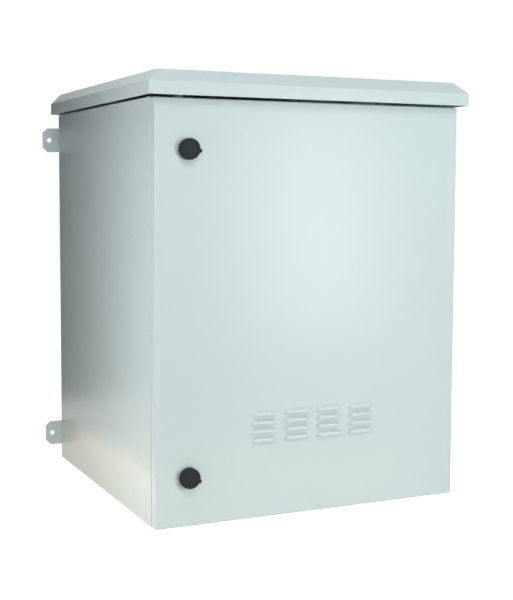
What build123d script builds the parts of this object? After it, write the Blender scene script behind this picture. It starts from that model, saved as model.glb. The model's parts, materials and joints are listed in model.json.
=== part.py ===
"""Outdoor equipment cabinet with a pitched rain canopy, a louvred door and four wall ears.

Frame: origin on the floor at the centre of the footprint, +Z up, the door faces -Y and the wall is
on the +Y side. All lengths are in millimetres.
"""

import os
from math import cos, radians, sin

from build123d import *

os.makedirs("parts", exist_ok=True)

# Body sizes
BODY_WIDTH = 600.0
DEPTH = 600.0
BODY_HEIGHT = 735.0
SHEET = 1.5
BEND_INSIDE = 1.0
BEND_OUTSIDE = BEND_INSIDE + SHEET
FRAME_SIDE = 36.0
FRAME_END = 30.0
LIP = 9.5
REAR_FLANGE = 26.0
WELD_FLANGE = 15.0

# Rain canopy
ROOF_GAP = 1.6
ROOF_SKIRT = 22.4
ROOF_RISE = 21.0
ROOF_SLOPE_ANGLE = 45.0
ROOF_SIDE_OVERHANG = 15.0
ROOF_FRONT_OVERHANG = 16.0
ROOF_BEND = 2.0

# Door pan
DOOR_HEIGHT = 732.0
DOOR_DEPTH = 20.0
DOOR_SEAM = 3.0
GASKET_WIDTH = 12.0
GASKET_REST = 0.3

# Louvres pressed in the door
LOUVRE_COLUMNS = 4
LOUVRE_ROWS = 4
LOUVRE_WIDTH = 51.5
LOUVRE_HEIGHT = 9.6
LOUVRE_PROUD = 5.2
LOUVRE_COLUMN_PITCH = 65.0
LOUVRE_ROW_PITCH = 15.4
LOUVRE_LOWEST_LIP = 136.0
LOUVRE_WALL = 1.2
LOUVRE_BEND_PROUD = 0.78
LOUVRE_BEND_RISE = 0.55

# Wall ears
EAR_THICKNESS = 3.0
EAR_OUT = 34.0
EAR_LAP = 24.0
EAR_HEIGHT = 50.0
EAR_CORNER = 10.0
EAR_HOLE_OUT = 20.0
EAR_HOLE_RADIUS = 5.0
EAR_LOW = 54.0
EAR_SPACING = 629.0
EAR_BOLT_PITCH = 26.0
EAR_BOLT_INSET = 12.0

# Locks: place on the door and the turn of each dust cap
LOCK_FROM_EDGE = 60.0
LOCK_FROM_END = 85.5
LOCK_TURNS = {"upper": 7.0, "lower": 22.0}
LOCK_HOLE_CLEARANCE = 0.2
BARREL_RADIUS = 11.0
LOCK_FLANGE_RADIUS = 14.2
LOCK_FLANGE_HEIGHT = 2.6
ROTOR_RADIUS = 8.0
ROTOR_HEAD_RADIUS = 9.6
ROTOR_HEAD_HEIGHT = 2.0
CAM_THICKNESS = 3.0
CAM_REACH = 36.0
CAM_HUB_RADIUS = 9.0
CAM_TIP_RADIUS = 7.0
CAM_CLEARANCE = 0.4
CAM_SCREW_DEPTH = 9.0
CAM_WASHER_RADIUS = 8.0
SPIGOT = 8.0
KEY_DEPTH = 8.0
KEY_RADIUS = 4.6
CAP_RADIUS = 18.0
CAP_HEIGHT = 13.0
CAP_WALL = 1.8
CAP_LIFT = 1.0
CAP_EDGE = 3.0
CAP_EDGE_FLAT = 0.9
CAP_RING = 4.0
CAP_TOP_STEP = 0.7
CAP_NOTCH_SPARE = 4.0
CAP_HINGE_OUT = 16.5
CAP_HINGE_HEIGHT = 3.0
CAP_KNUCKLE_RADIUS = 1.9
CAP_KNUCKLE_WIDTH = 6.2
CAP_LUG_THICKNESS = 2.6
CAP_PIN_RADIUS = 0.8
CAP_WEB_HEIGHT = 2.9
LUG_RELIEF = 0.2
TAB_LENGTH = 6.0
TAB_WIDTH = 6.4
TAB_HEIGHT = 4.0

# Concealed door hinges on the right
HINGE_INSET = 6.5
HINGE_FORWARD = 12.5
HINGE_FROM_END = 111.0
HINGE_PIN_RADIUS = 2.5
HINGE_KNUCKLE_RADIUS = 4.4
HINGE_ARM_HEIGHT = 30.0
HINGE_ARM_THICKNESS = 2.5
HINGE_ARM_BACK = 2.0
HINGE_FOOT_OUT = 16.5
HINGE_FOOT_LENGTH = 10.0
HINGE_LEAF_THICKNESS = 2.0
HINGE_LEAF_LENGTH = 22.0
HINGE_FORK_HEIGHT = 12.0
HINGE_GAP = 0.3

# 19 inch rails: the hole columns and the unit height are the standard's
RACK_UNITS = 15
RACK_UNIT = 44.45
RACK_HOLE_OFFSETS = (6.35, 22.225, 38.1)
RACK_HOLE_COLUMNS = 465.1
RACK_HOLE = 9.5
RACK_CLEAR_WIDTH = 450.9
RAIL_FACE_WIDTH = 21.5
RAIL_LEG = 50.0
RAIL_SHEET = 2.0
RAIL_END = 10.0
RAIL_FRONT_SETBACK = 64.0
RAIL_REAR_SETBACK = 97.0
DEPTH_RAIL_WEB = 30.0
DEPTH_RAIL_FOOT = 15.0
DEPTH_RAIL_FROM_END = 75.0
DEPTH_RAIL_FRONT_SETBACK = 20.0
DEPTH_RAIL_REAR_SETBACK = 12.0
DEPTH_RAIL_STUD_IN = 25.0
DEPTH_RAIL_SLOT = 40.0

# Door inside
STIFFENER_FROM_EDGE = 100.0
STIFFENER_WEB = 24.0
STIFFENER_FOOT = 10.0
STIFFENER_DEPTH = 14.0
STIFFENER_FROM_END = 45.0
FILTER_MARGIN = 10.0
FILTER_MAT_THICKNESS = 8.0
FILTER_SHEET = 1.2
FILTER_FOOT = 12.0
FILTER_BAR = 8.0
FILTER_CELLS = 4

# Openings in the floor and top
CABLE_OPENING_WIDTH = 300.0
CABLE_OPENING_DEPTH = 60.0
CABLE_OPENING_FROM_REAR = 130.0
CABLE_PLATE_MARGIN = 22.0
CABLE_PLATE_THICKNESS = 2.0
CABLE_CORNER = 8.0
GROMMET_COUNT = 4
GROMMET_PITCH = 68.0
GROMMET_HOLE_RADIUS = 21.0
GROMMET_LIP = 2.5
GROMMET_WALL = 2.0
GROMMET_HEIGHT = 9.0
VENT_SLOTS = 7
VENT_FIELDS = 2
VENT_FIELD_PITCH = 240.0
VENT_SLOT_LENGTH = 80.0
VENT_SLOT_WIDTH = 6.0
VENT_SLOT_PITCH = 14.0

# Fasteners: metric shanks, with hexagons across flats
M5_RADIUS = 2.5
M6_RADIUS = 3.0
M8_RADIUS = 4.0
M5_HEX = 8.0
M6_HEX = 10.0
M8_HEX = 13.0
M5_NUT = 4.0
M6_NUT = 5.0
M8_NUT = 6.5
M5_HEAD_RADIUS = 4.0
M5_HEAD_HEIGHT = 2.8
BOLT_HEAD = 4.0
HINGE_PIN_HEAD = 1.5
THREAD_SPARE = 4.0
SPACER_RADIUS = 10.0
SPACER_BORE_CLEARANCE = 0.3
SPACER_FROM_SIDE = 90.0
SPACER_FROM_FRONT = 100.0
SPACER_FROM_REAR = 100.0
LOCK_NUT_HEX = 27.0
LOCK_NUT_HEIGHT = 5.0

# Clearances
RUNNING = 0.05
HOLE_CLEARANCE = 0.3

# Places worked out from the sizes
HALF = BODY_WIDTH / 2
WALL_Y = (DEPTH + ROOF_FRONT_OVERHANG) / 2
REAR_Y = WALL_Y - EAR_THICKNESS
DOOR_Y = WALL_Y - DEPTH
FRAME_Y = DOOR_Y + DOOR_DEPTH + DOOR_SEAM
SKIN_Y = DOOR_Y + SHEET
LIP_Y = FRAME_Y - LIP
INNER_REAR_Y = REAR_Y - 2 * SHEET
DOOR_BOTTOM = (BODY_HEIGHT - DOOR_HEIGHT) / 2
DOOR_TOP = DOOR_BOTTOM + DOOR_HEIGHT
SIDE_INNER = HALF - SHEET
LIP_X = HALF - FRAME_SIDE
LIP_LOW = FRAME_END
LIP_HIGH = BODY_HEIGHT - FRAME_END
ROOF_BOTTOM = BODY_HEIGHT + ROOF_GAP
ROOF_TOP = ROOF_BOTTOM + ROOF_SKIRT + ROOF_RISE
SIDES = {"left": -1, "right": 1}
CENTRE_Z = BODY_HEIGHT / 2


def label_and_write(part, name):
    """Name a finished piece and write its STEP file."""
    part.label = name
    export_step(part, f"parts/{name}.step")


def folded_strip(points, radii, side, thickness=SHEET):
    """A bent sheet's section: the traced face, its bends and the thickness on one side."""
    with BuildLine() as strip:
        FilletPolyline(*points, radius=radii)
        offset(amount=thickness, side=side)
    make_face(strip.edges())


def hexagon(across_flats):
    """A hexagon by its width across the flats."""
    RegularPolygon(across_flats / 2, 6, major_radius=False)


# Side walls: one folded sheet each, with the door frame's flange and gutter lip at the front and a
# flange for the rear panel at the back
DEPTH_RAIL_Z = {"lower": DEPTH_RAIL_FROM_END, "upper": BODY_HEIGHT - DEPTH_RAIL_FROM_END}
DEPTH_RAIL_FRONT_Y = FRAME_Y + SHEET + DEPTH_RAIL_FRONT_SETBACK
DEPTH_RAIL_REAR_Y = INNER_REAR_Y - DEPTH_RAIL_REAR_SETBACK
DEPTH_RAIL_LENGTH = DEPTH_RAIL_REAR_Y - DEPTH_RAIL_FRONT_Y
DEPTH_STUD_OUT = (DEPTH_RAIL_WEB + DEPTH_RAIL_FOOT) / 2
DEPTH_STUD_LENGTH = SHEET + M6_NUT + THREAD_SPARE
DEPTH_STUDS = [
    (y, DEPTH_RAIL_Z[level] + rise)
    for level in DEPTH_RAIL_Z
    for y, rise in (
        (DEPTH_RAIL_FRONT_Y + DEPTH_RAIL_STUD_IN, DEPTH_STUD_OUT),
        (DEPTH_RAIL_REAR_Y - DEPTH_RAIL_STUD_IN, -DEPTH_STUD_OUT),
    )
]
EAR_Z = {"lower": EAR_LOW, "upper": EAR_LOW + EAR_SPACING}
EAR_BOLT_X = HALF - EAR_BOLT_INSET
EAR_BOLTS = [
    (EAR_BOLT_X * sign, EAR_Z[level] + rise)
    for sign in SIDES.values()
    for level in EAR_Z
    for rise in (-EAR_BOLT_PITCH / 2, EAR_BOLT_PITCH / 2)
]
HINGE_X = HALF - HINGE_INSET
HINGE_Y = FRAME_Y - HINGE_FORWARD
HINGE_Z = {"lower": DOOR_BOTTOM + HINGE_FROM_END, "upper": DOOR_TOP - HINGE_FROM_END}
HINGE_FOOT_X = HINGE_X - HINGE_FOOT_OUT - HINGE_FOOT_LENGTH / 2
HINGE_SCREW_RISE = HINGE_ARM_HEIGHT / 4
HINGE_SCREWS = [(HINGE_FOOT_X, z + r) for z in HINGE_Z.values() for r in (-HINGE_SCREW_RISE, HINGE_SCREW_RISE)]


def wall_plane(y):
    """The upright plane at y whose sketch axes are X and Z, facing the front."""
    return Plane(origin=(0, y, 0), x_dir=(1, 0, 0), z_dir=(0, -1, 0))


def side_wall(sign):
    """One side wall; sign is -1 on the left and 1 on the right."""
    with BuildPart() as wall:
        with BuildSketch(Plane.XY):
            folded_strip(
                [
                    (sign * (LIP_X + SHEET), LIP_Y),
                    (sign * (LIP_X + SHEET), FRAME_Y),
                    (sign * HALF, FRAME_Y),
                    (sign * HALF, REAR_Y),
                    (sign * (HALF - REAR_FLANGE), REAR_Y),
                ],
                [BEND_INSIDE, BEND_OUTSIDE, BEND_OUTSIDE],
                Side.RIGHT if sign < 0 else Side.LEFT,
            )
        extrude(amount=BODY_HEIGHT)
        # the lip stops at the corners of the door frame
        for low, high in ((0, LIP_LOW - SHEET), (LIP_HIGH + SHEET, BODY_HEIGHT)):
            with BuildSketch(Plane.XY.offset(low)):
                with Locations((sign * LIP_X, FRAME_Y - LIP / 2)):
                    Rectangle(FRAME_SIDE, LIP)
            extrude(amount=high - low, mode=Mode.SUBTRACT)
        # threaded studs that carry the depth rails
        with BuildSketch(Plane(origin=(sign * SIDE_INNER, 0, 0), x_dir=(0, 1, 0), z_dir=(1, 0, 0))):
            with Locations(*DEPTH_STUDS):
                Circle(M6_RADIUS)
        extrude(amount=-sign * DEPTH_STUD_LENGTH)
        # holes for the ear bolts through the rear flange
        with BuildSketch(wall_plane(REAR_Y)):
            with Locations(*EAR_BOLTS):
                Circle(M6_RADIUS + HOLE_CLEARANCE)
        extrude(amount=SHEET, mode=Mode.SUBTRACT)
        if sign > 0:
            with BuildSketch(wall_plane(FRAME_Y)):
                with Locations(*HINGE_SCREWS):
                    Circle(M5_RADIUS + RUNNING)
            extrude(amount=-SHEET, mode=Mode.SUBTRACT)
    return wall.part


left_side_wall = side_wall(-1)
right_side_wall = side_wall(1)
label_and_write(left_side_wall, "left_side_wall")
label_and_write(right_side_wall, "right_side_wall")

# Rear panel: a flat sheet spot-welded inside the side walls' rear flanges
REAR_PANEL_WIDTH = 2 * (SIDE_INNER - BEND_INSIDE)
with BuildPart() as rear_panel:
    with BuildSketch(wall_plane(REAR_Y - SHEET)):
        with Locations((0, CENTRE_Z)):
            Rectangle(REAR_PANEL_WIDTH, BODY_HEIGHT)
        with Locations(*EAR_BOLTS):
            Circle(M6_RADIUS + HOLE_CLEARANCE, mode=Mode.SUBTRACT)
    extrude(amount=SHEET)
label_and_write(rear_panel.part, "rear_panel")

# Top and floor: one tray each, with a front flange and lip that close the door frame
CORNER_Y = FRAME_Y + SHEET + BEND_INSIDE
SPACER_X = HALF - SPACER_FROM_SIDE
SPACERS = [
    (sign * SPACER_X, y)
    for y in (FRAME_Y + SPACER_FROM_FRONT, REAR_Y - SPACER_FROM_REAR)
    for sign in SIDES.values()
]


def end_tray():
    """The plain top tray: web, weld flanges, front frame flange and lip."""
    top = BODY_HEIGHT
    with BuildPart() as tray:
        with BuildSketch(Plane(origin=(-SIDE_INNER, 0, 0), x_dir=(0, 1, 0), z_dir=(1, 0, 0))):
            folded_strip(
                [
                    (LIP_Y, LIP_HIGH + SHEET),
                    (FRAME_Y, LIP_HIGH + SHEET),
                    (FRAME_Y, top),
                    (INNER_REAR_Y, top),
                    (INNER_REAR_Y, top - WELD_FLANGE),
                ],
                [BEND_INSIDE, BEND_OUTSIDE, BEND_OUTSIDE],
                Side.RIGHT,
            )
        extrude(amount=2 * SIDE_INNER)
        # the side walls' flanges and lips fill the corners
        for sign in SIDES.values():
            with BuildSketch(Plane.XY.offset(LIP_HIGH - SHEET)):
                with Locations((sign * (LIP_X + FRAME_SIDE / 2), (LIP_Y + CORNER_Y) / 2)):
                    Rectangle(FRAME_SIDE, CORNER_Y - LIP_Y)
            extrude(amount=BODY_HEIGHT - LIP_HIGH + SHEET, mode=Mode.SUBTRACT)
        # weld flanges along both sides
        with BuildSketch(wall_plane(CORNER_Y)):
            folded_strip(
                [
                    (-SIDE_INNER, top - WELD_FLANGE),
                    (-SIDE_INNER, top),
                    (SIDE_INNER, top),
                    (SIDE_INNER, top - WELD_FLANGE),
                ],
                BEND_OUTSIDE,
                Side.RIGHT,
            )
        extrude(amount=-(INNER_REAR_Y - BEND_OUTSIDE - CORNER_Y))
    return tray.part


with BuildPart() as top_panel:
    add(end_tray())
    with BuildSketch(Plane.XY.offset(BODY_HEIGHT)):
        with GridLocations(VENT_FIELD_PITCH, 0, VENT_FIELDS, 1):
            with GridLocations(VENT_SLOT_PITCH, 0, VENT_SLOTS, 1):
                Rectangle(VENT_SLOT_WIDTH, VENT_SLOT_LENGTH)
        with Locations(*SPACERS):
            Circle(M8_RADIUS + HOLE_CLEARANCE)
    extrude(amount=-SHEET, mode=Mode.SUBTRACT)
label_and_write(top_panel.part, "top_panel")

CABLE_Y = INNER_REAR_Y - CABLE_OPENING_FROM_REAR
CABLE_PLATE_WIDTH = CABLE_OPENING_WIDTH + 2 * CABLE_PLATE_MARGIN
CABLE_PLATE_DEPTH = CABLE_OPENING_DEPTH + 2 * CABLE_PLATE_MARGIN
CABLE_STUDS = [
    (x, CABLE_Y + y)
    for x in (-(CABLE_PLATE_WIDTH - CABLE_PLATE_MARGIN) / 2, 0, (CABLE_PLATE_WIDTH - CABLE_PLATE_MARGIN) / 2)
    for y in (-(CABLE_PLATE_DEPTH - CABLE_PLATE_MARGIN) / 2, (CABLE_PLATE_DEPTH - CABLE_PLATE_MARGIN) / 2)
]
CABLE_STUD_LENGTH = CABLE_PLATE_THICKNESS + M5_NUT + THREAD_SPARE / 2
with BuildPart() as floor_panel:
    add(mirror(end_tray(), about=Plane.XY.offset(CENTRE_Z)))
    with BuildSketch(Plane.XY):
        with Locations((0, CABLE_Y)):
            RectangleRounded(CABLE_OPENING_WIDTH, CABLE_OPENING_DEPTH, CABLE_CORNER)
    extrude(amount=SHEET, mode=Mode.SUBTRACT)
    with BuildSketch(Plane.XY.offset(SHEET)):
        with Locations(*CABLE_STUDS):
            Circle(M5_RADIUS)
    extrude(amount=CABLE_STUD_LENGTH)
label_and_write(floor_panel.part, "floor_panel")

# Cable entry: a removable plate with rubber grommets
GROMMETS = [((i - (GROMMET_COUNT - 1) / 2) * GROMMET_PITCH, CABLE_Y) for i in range(GROMMET_COUNT)]
with BuildPart() as cable_entry_plate:
    with BuildSketch(Plane.XY.offset(SHEET)):
        with Locations((0, CABLE_Y)):
            RectangleRounded(CABLE_PLATE_WIDTH, CABLE_PLATE_DEPTH, CABLE_CORNER)
        with Locations(*GROMMETS):
            Circle(GROMMET_HOLE_RADIUS, mode=Mode.SUBTRACT)
        with Locations(*CABLE_STUDS):
            Circle(M5_RADIUS + HOLE_CLEARANCE, mode=Mode.SUBTRACT)
    extrude(amount=CABLE_PLATE_THICKNESS)
label_and_write(cable_entry_plate.part, "cable_entry_plate")

GROMMET_BASE_Z = SHEET + CABLE_PLATE_THICKNESS
GROMMET_OUTER = GROMMET_HOLE_RADIUS + GROMMET_LIP
GROMMET_NECK = GROMMET_HOLE_RADIUS - GROMMET_WALL
with BuildPart() as cable_grommets:
    for x, y in GROMMETS:
        with BuildSketch(Plane(origin=(x, y, GROMMET_BASE_Z), x_dir=(1, 0, 0), z_dir=(0, -1, 0))):
            with BuildLine():
                Polyline(
                    (0, 0),
                    (GROMMET_NECK, 0),
                    (GROMMET_NECK, -CABLE_PLATE_THICKNESS),
                    (GROMMET_HOLE_RADIUS, -CABLE_PLATE_THICKNESS),
                    (GROMMET_HOLE_RADIUS, 0),
                    (GROMMET_OUTER, 0),
                    (GROMMET_NECK / 2, GROMMET_HEIGHT),
                    (0, GROMMET_HEIGHT),
                    close=True,
                )
            make_face()
        revolve(axis=Axis((x, y, 0), (0, 0, 1)))
label_and_write(cable_grommets.part, "cable_grommets")

with BuildPart() as cable_plate_nuts:
    with BuildSketch(Plane.XY.offset(GROMMET_BASE_Z)):
        with Locations(*CABLE_STUDS):
            hexagon(M5_HEX)
            Circle(M5_RADIUS + RUNNING, mode=Mode.SUBTRACT)
    extrude(amount=M5_NUT)
label_and_write(cable_plate_nuts.part, "cable_plate_nuts")

# Rain canopy: one folded and corner-welded sheet, open underneath and closed at the wall
ROOF_WIDTH = BODY_WIDTH + 2 * ROOF_SIDE_OVERHANG
ROOF_DEPTH = DEPTH + ROOF_FRONT_OVERHANG
with BuildPart() as roof_canopy:
    with BuildSketch(Plane.XY.offset(ROOF_BOTTOM)):
        with Locations((0, WALL_Y)):
            Rectangle(ROOF_WIDTH, 2 * ROOF_DEPTH)
    extrude(amount=ROOF_SKIRT)
    extrude(roof_canopy.faces().sort_by(Axis.Z)[-1], amount=ROOF_RISE, taper=ROOF_SLOPE_ANGLE)
    fillet(roof_canopy.edges().filter_by(lambda edge: edge.center().Z > ROOF_BOTTOM + ROOF_BEND), ROOF_BEND)
    split(bisect_by=Plane(origin=(0, WALL_Y, 0), x_dir=(1, 0, 0), z_dir=(0, -1, 0)), keep=Keep.TOP)
    offset(amount=-SHEET, openings=roof_canopy.faces().sort_by(Axis.Z)[0])
label_and_write(roof_canopy.part, "roof_canopy")

SPACER_HEIGHT = ROOF_TOP - SHEET - BODY_HEIGHT
for spacer_name, place in zip(("front_left", "front_right", "rear_left", "rear_right"), SPACERS):
    with BuildPart() as roof_spacer:
        with BuildSketch(Plane.XY.offset(BODY_HEIGHT)):
            with Locations(place):
                Circle(SPACER_RADIUS)
                Circle(M8_RADIUS + SPACER_BORE_CLEARANCE, mode=Mode.SUBTRACT)
        extrude(amount=SPACER_HEIGHT)
    label_and_write(roof_spacer.part, f"{spacer_name}_roof_spacer")

ROOF_STUD_LOW = BODY_HEIGHT - SHEET - M8_NUT - THREAD_SPARE
with BuildPart() as roof_studs:
    with BuildSketch(Plane.XY.offset(ROOF_STUD_LOW)):
        with Locations(*SPACERS):
            Circle(M8_RADIUS)
    extrude(amount=ROOF_TOP - SHEET - ROOF_STUD_LOW)
label_and_write(roof_studs.part, "roof_studs")

with BuildPart() as roof_nuts:
    with BuildSketch(Plane.XY.offset(BODY_HEIGHT - SHEET)):
        with Locations(*SPACERS):
            hexagon(M8_HEX)
            Circle(M8_RADIUS + RUNNING, mode=Mode.SUBTRACT)
    extrude(amount=-M8_NUT)
label_and_write(roof_nuts.part, "roof_nuts")

# Wall ears: tapped plates, bolted from inside the cabinet


def wall_ear(sign, z):
    """A flat plate screwed on the rear flange, with its outer corners cut off."""
    with BuildPart() as ear:
        with BuildSketch(wall_plane(REAR_Y)) as outline:
            with Locations((sign * (HALF + (EAR_OUT - EAR_LAP) / 2), z)):
                Rectangle(EAR_OUT + EAR_LAP, EAR_HEIGHT)
            outer_corners = outline.vertices().group_by(Axis.X)[-1 if sign > 0 else 0]
            chamfer(outer_corners, EAR_CORNER)
            with Locations((sign * (HALF + EAR_HOLE_OUT), z)):
                Circle(EAR_HOLE_RADIUS, mode=Mode.SUBTRACT)
            with Locations(*[place for place in EAR_BOLTS if abs(place[1] - z) < EAR_HEIGHT]):
                Circle(M6_RADIUS + RUNNING, mode=Mode.SUBTRACT)
        extrude(amount=-EAR_THICKNESS)
    return ear.part


for level, ear_z in EAR_Z.items():
    for side, sign in SIDES.items():
        label_and_write(wall_ear(sign, ear_z), f"{level}_{side}_wall_ear")

EAR_GRIP = EAR_THICKNESS + 2 * SHEET
with BuildPart() as ear_bolts:
    with BuildSketch(wall_plane(INNER_REAR_Y)):
        with Locations(*EAR_BOLTS):
            hexagon(M6_HEX)
    extrude(amount=BOLT_HEAD)
    with BuildSketch(wall_plane(INNER_REAR_Y)):
        with Locations(*EAR_BOLTS):
            Circle(M6_RADIUS)
    extrude(amount=-EAR_GRIP)
label_and_write(ear_bolts.part, "ear_bolts")

# Depth rails: hat sections on the side walls, with slots for the upright rails
RAIL_LEG_X = RACK_CLEAR_WIDTH / 2 + RAIL_FACE_WIDTH
RAIL_FRONT_Y = FRAME_Y + RAIL_FRONT_SETBACK
RAIL_REAR_Y = INNER_REAR_Y - RAIL_REAR_SETBACK
RAIL_BOLT_BACK = RAIL_LEG / 2
RAIL_BOLTS = [
    (y, z)
    for y in (RAIL_FRONT_Y + RAIL_BOLT_BACK, RAIL_REAR_Y - RAIL_BOLT_BACK)
    for z in DEPTH_RAIL_Z.values()
]


def depth_rail(sign, z):
    """One hat section from the side wall to the upright rails' legs."""
    web = sign * (RAIL_LEG_X + SHEET)
    foot = sign * SIDE_INNER
    half_web = DEPTH_RAIL_WEB / 2
    with BuildPart() as rail:
        with BuildSketch(wall_plane(DEPTH_RAIL_FRONT_Y)):
            folded_strip(
                [
                    (foot, z - half_web - DEPTH_RAIL_FOOT),
                    (foot, z - half_web),
                    (web, z - half_web),
                    (web, z + half_web),
                    (foot, z + half_web),
                    (foot, z + half_web + DEPTH_RAIL_FOOT),
                ],
                [BEND_OUTSIDE, BEND_INSIDE, BEND_INSIDE, BEND_OUTSIDE],
                Side.LEFT if sign > 0 else Side.RIGHT,
            )
        extrude(amount=-DEPTH_RAIL_LENGTH)
        with BuildSketch(Plane(origin=(web, 0, 0), x_dir=(0, 1, 0), z_dir=(1, 0, 0))):
            with Locations(*[(y, bolt_z) for y, bolt_z in RAIL_BOLTS if bolt_z == z]):
                SlotOverall(DEPTH_RAIL_SLOT, 2 * (M6_RADIUS + HOLE_CLEARANCE))
        extrude(amount=2 * SHEET, both=True, mode=Mode.SUBTRACT)
        with BuildSketch(Plane(origin=(foot, 0, 0), x_dir=(0, 1, 0), z_dir=(1, 0, 0))):
            with Locations(*[place for place in DEPTH_STUDS if abs(place[1] - z) < DEPTH_RAIL_WEB]):
                Circle(M6_RADIUS + HOLE_CLEARANCE)
        extrude(amount=2 * SHEET, both=True, mode=Mode.SUBTRACT)
    return rail.part


for level, rail_z in DEPTH_RAIL_Z.items():
    for side, sign in SIDES.items():
        label_and_write(depth_rail(sign, rail_z), f"{level}_{side}_depth_rail")

with BuildPart() as depth_rail_nuts:
    for sign in SIDES.values():
        with BuildSketch(Plane(origin=(sign * (SIDE_INNER - SHEET), 0, 0), x_dir=(0, 1, 0), z_dir=(1, 0, 0))):
            with Locations(*DEPTH_STUDS):
                hexagon(M6_HEX)
                Circle(M6_RADIUS + RUNNING, mode=Mode.SUBTRACT)
        extrude(amount=-sign * M6_NUT)
label_and_write(depth_rail_nuts.part, "depth_rail_nuts")

# Upright 19 inch rails: an angle with three square holes in each unit
RACK_BOTTOM = CENTRE_Z - RACK_UNITS * RACK_UNIT / 2
RACK_HOLES = [RACK_BOTTOM + unit * RACK_UNIT + rise for unit in range(RACK_UNITS) for rise in RACK_HOLE_OFFSETS]
RAIL_BOTTOM = RACK_BOTTOM - RAIL_END
RAIL_HEIGHT = RACK_UNITS * RACK_UNIT + 2 * RAIL_END


def mounting_rail(sign, y, back):
    """An upright rail with its holed face at y and its leg going back along +Y or -Y."""
    with BuildPart() as rail:
        with BuildSketch(Plane.XY.offset(RAIL_BOTTOM)):
            folded_strip(
                [
                    (sign * RACK_CLEAR_WIDTH / 2, y),
                    (sign * RAIL_LEG_X, y),
                    (sign * RAIL_LEG_X, y + back * RAIL_LEG),
                ],
                BEND_INSIDE + RAIL_SHEET,
                Side.LEFT if sign * back > 0 else Side.RIGHT,
                RAIL_SHEET,
            )
        extrude(amount=RAIL_HEIGHT)
        with BuildSketch(wall_plane(y)):
            with Locations(*[(sign * RACK_HOLE_COLUMNS / 2, z) for z in RACK_HOLES]):
                Rectangle(RACK_HOLE, RACK_HOLE)
        extrude(amount=RAIL_SHEET, both=True, mode=Mode.SUBTRACT)
        with BuildSketch(Plane(origin=(sign * RAIL_LEG_X, 0, 0), x_dir=(0, 1, 0), z_dir=(1, 0, 0))):
            with Locations(*[(y + back * RAIL_BOLT_BACK, z) for z in DEPTH_RAIL_Z.values()]):
                Circle(M6_RADIUS + HOLE_CLEARANCE)
        extrude(amount=RAIL_SHEET, both=True, mode=Mode.SUBTRACT)
    return rail.part


for end, rail_y, back in (("front", RAIL_FRONT_Y, 1), ("rear", RAIL_REAR_Y, -1)):
    for side, sign in SIDES.items():
        label_and_write(mounting_rail(sign, rail_y, back), f"{end}_{side}_mounting_rail")

RAIL_GRIP = RAIL_SHEET + SHEET
with BuildPart() as rail_bolts:
    for sign in SIDES.values():
        inner = sign * (RAIL_LEG_X - RAIL_SHEET)
        with BuildSketch(Plane(origin=(inner, 0, 0), x_dir=(0, 1, 0), z_dir=(1, 0, 0))):
            with Locations(*RAIL_BOLTS):
                hexagon(M6_HEX)
        extrude(amount=-sign * BOLT_HEAD)
        with BuildSketch(Plane(origin=(inner, 0, 0), x_dir=(0, 1, 0), z_dir=(1, 0, 0))):
            with Locations(*RAIL_BOLTS):
                Circle(M6_RADIUS)
        extrude(amount=sign * (RAIL_GRIP + M6_NUT + THREAD_SPARE / 2))
label_and_write(rail_bolts.part, "rail_bolts")

with BuildPart() as rail_nuts:
    for sign in SIDES.values():
        with BuildSketch(Plane(origin=(sign * (RAIL_LEG_X + SHEET), 0, 0), x_dir=(0, 1, 0), z_dir=(1, 0, 0))):
            with Locations(*RAIL_BOLTS):
                hexagon(M6_HEX)
                Circle(M6_RADIUS + RUNNING, mode=Mode.SUBTRACT)
        extrude(amount=sign * M6_NUT)
label_and_write(rail_nuts.part, "rail_nuts")

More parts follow.
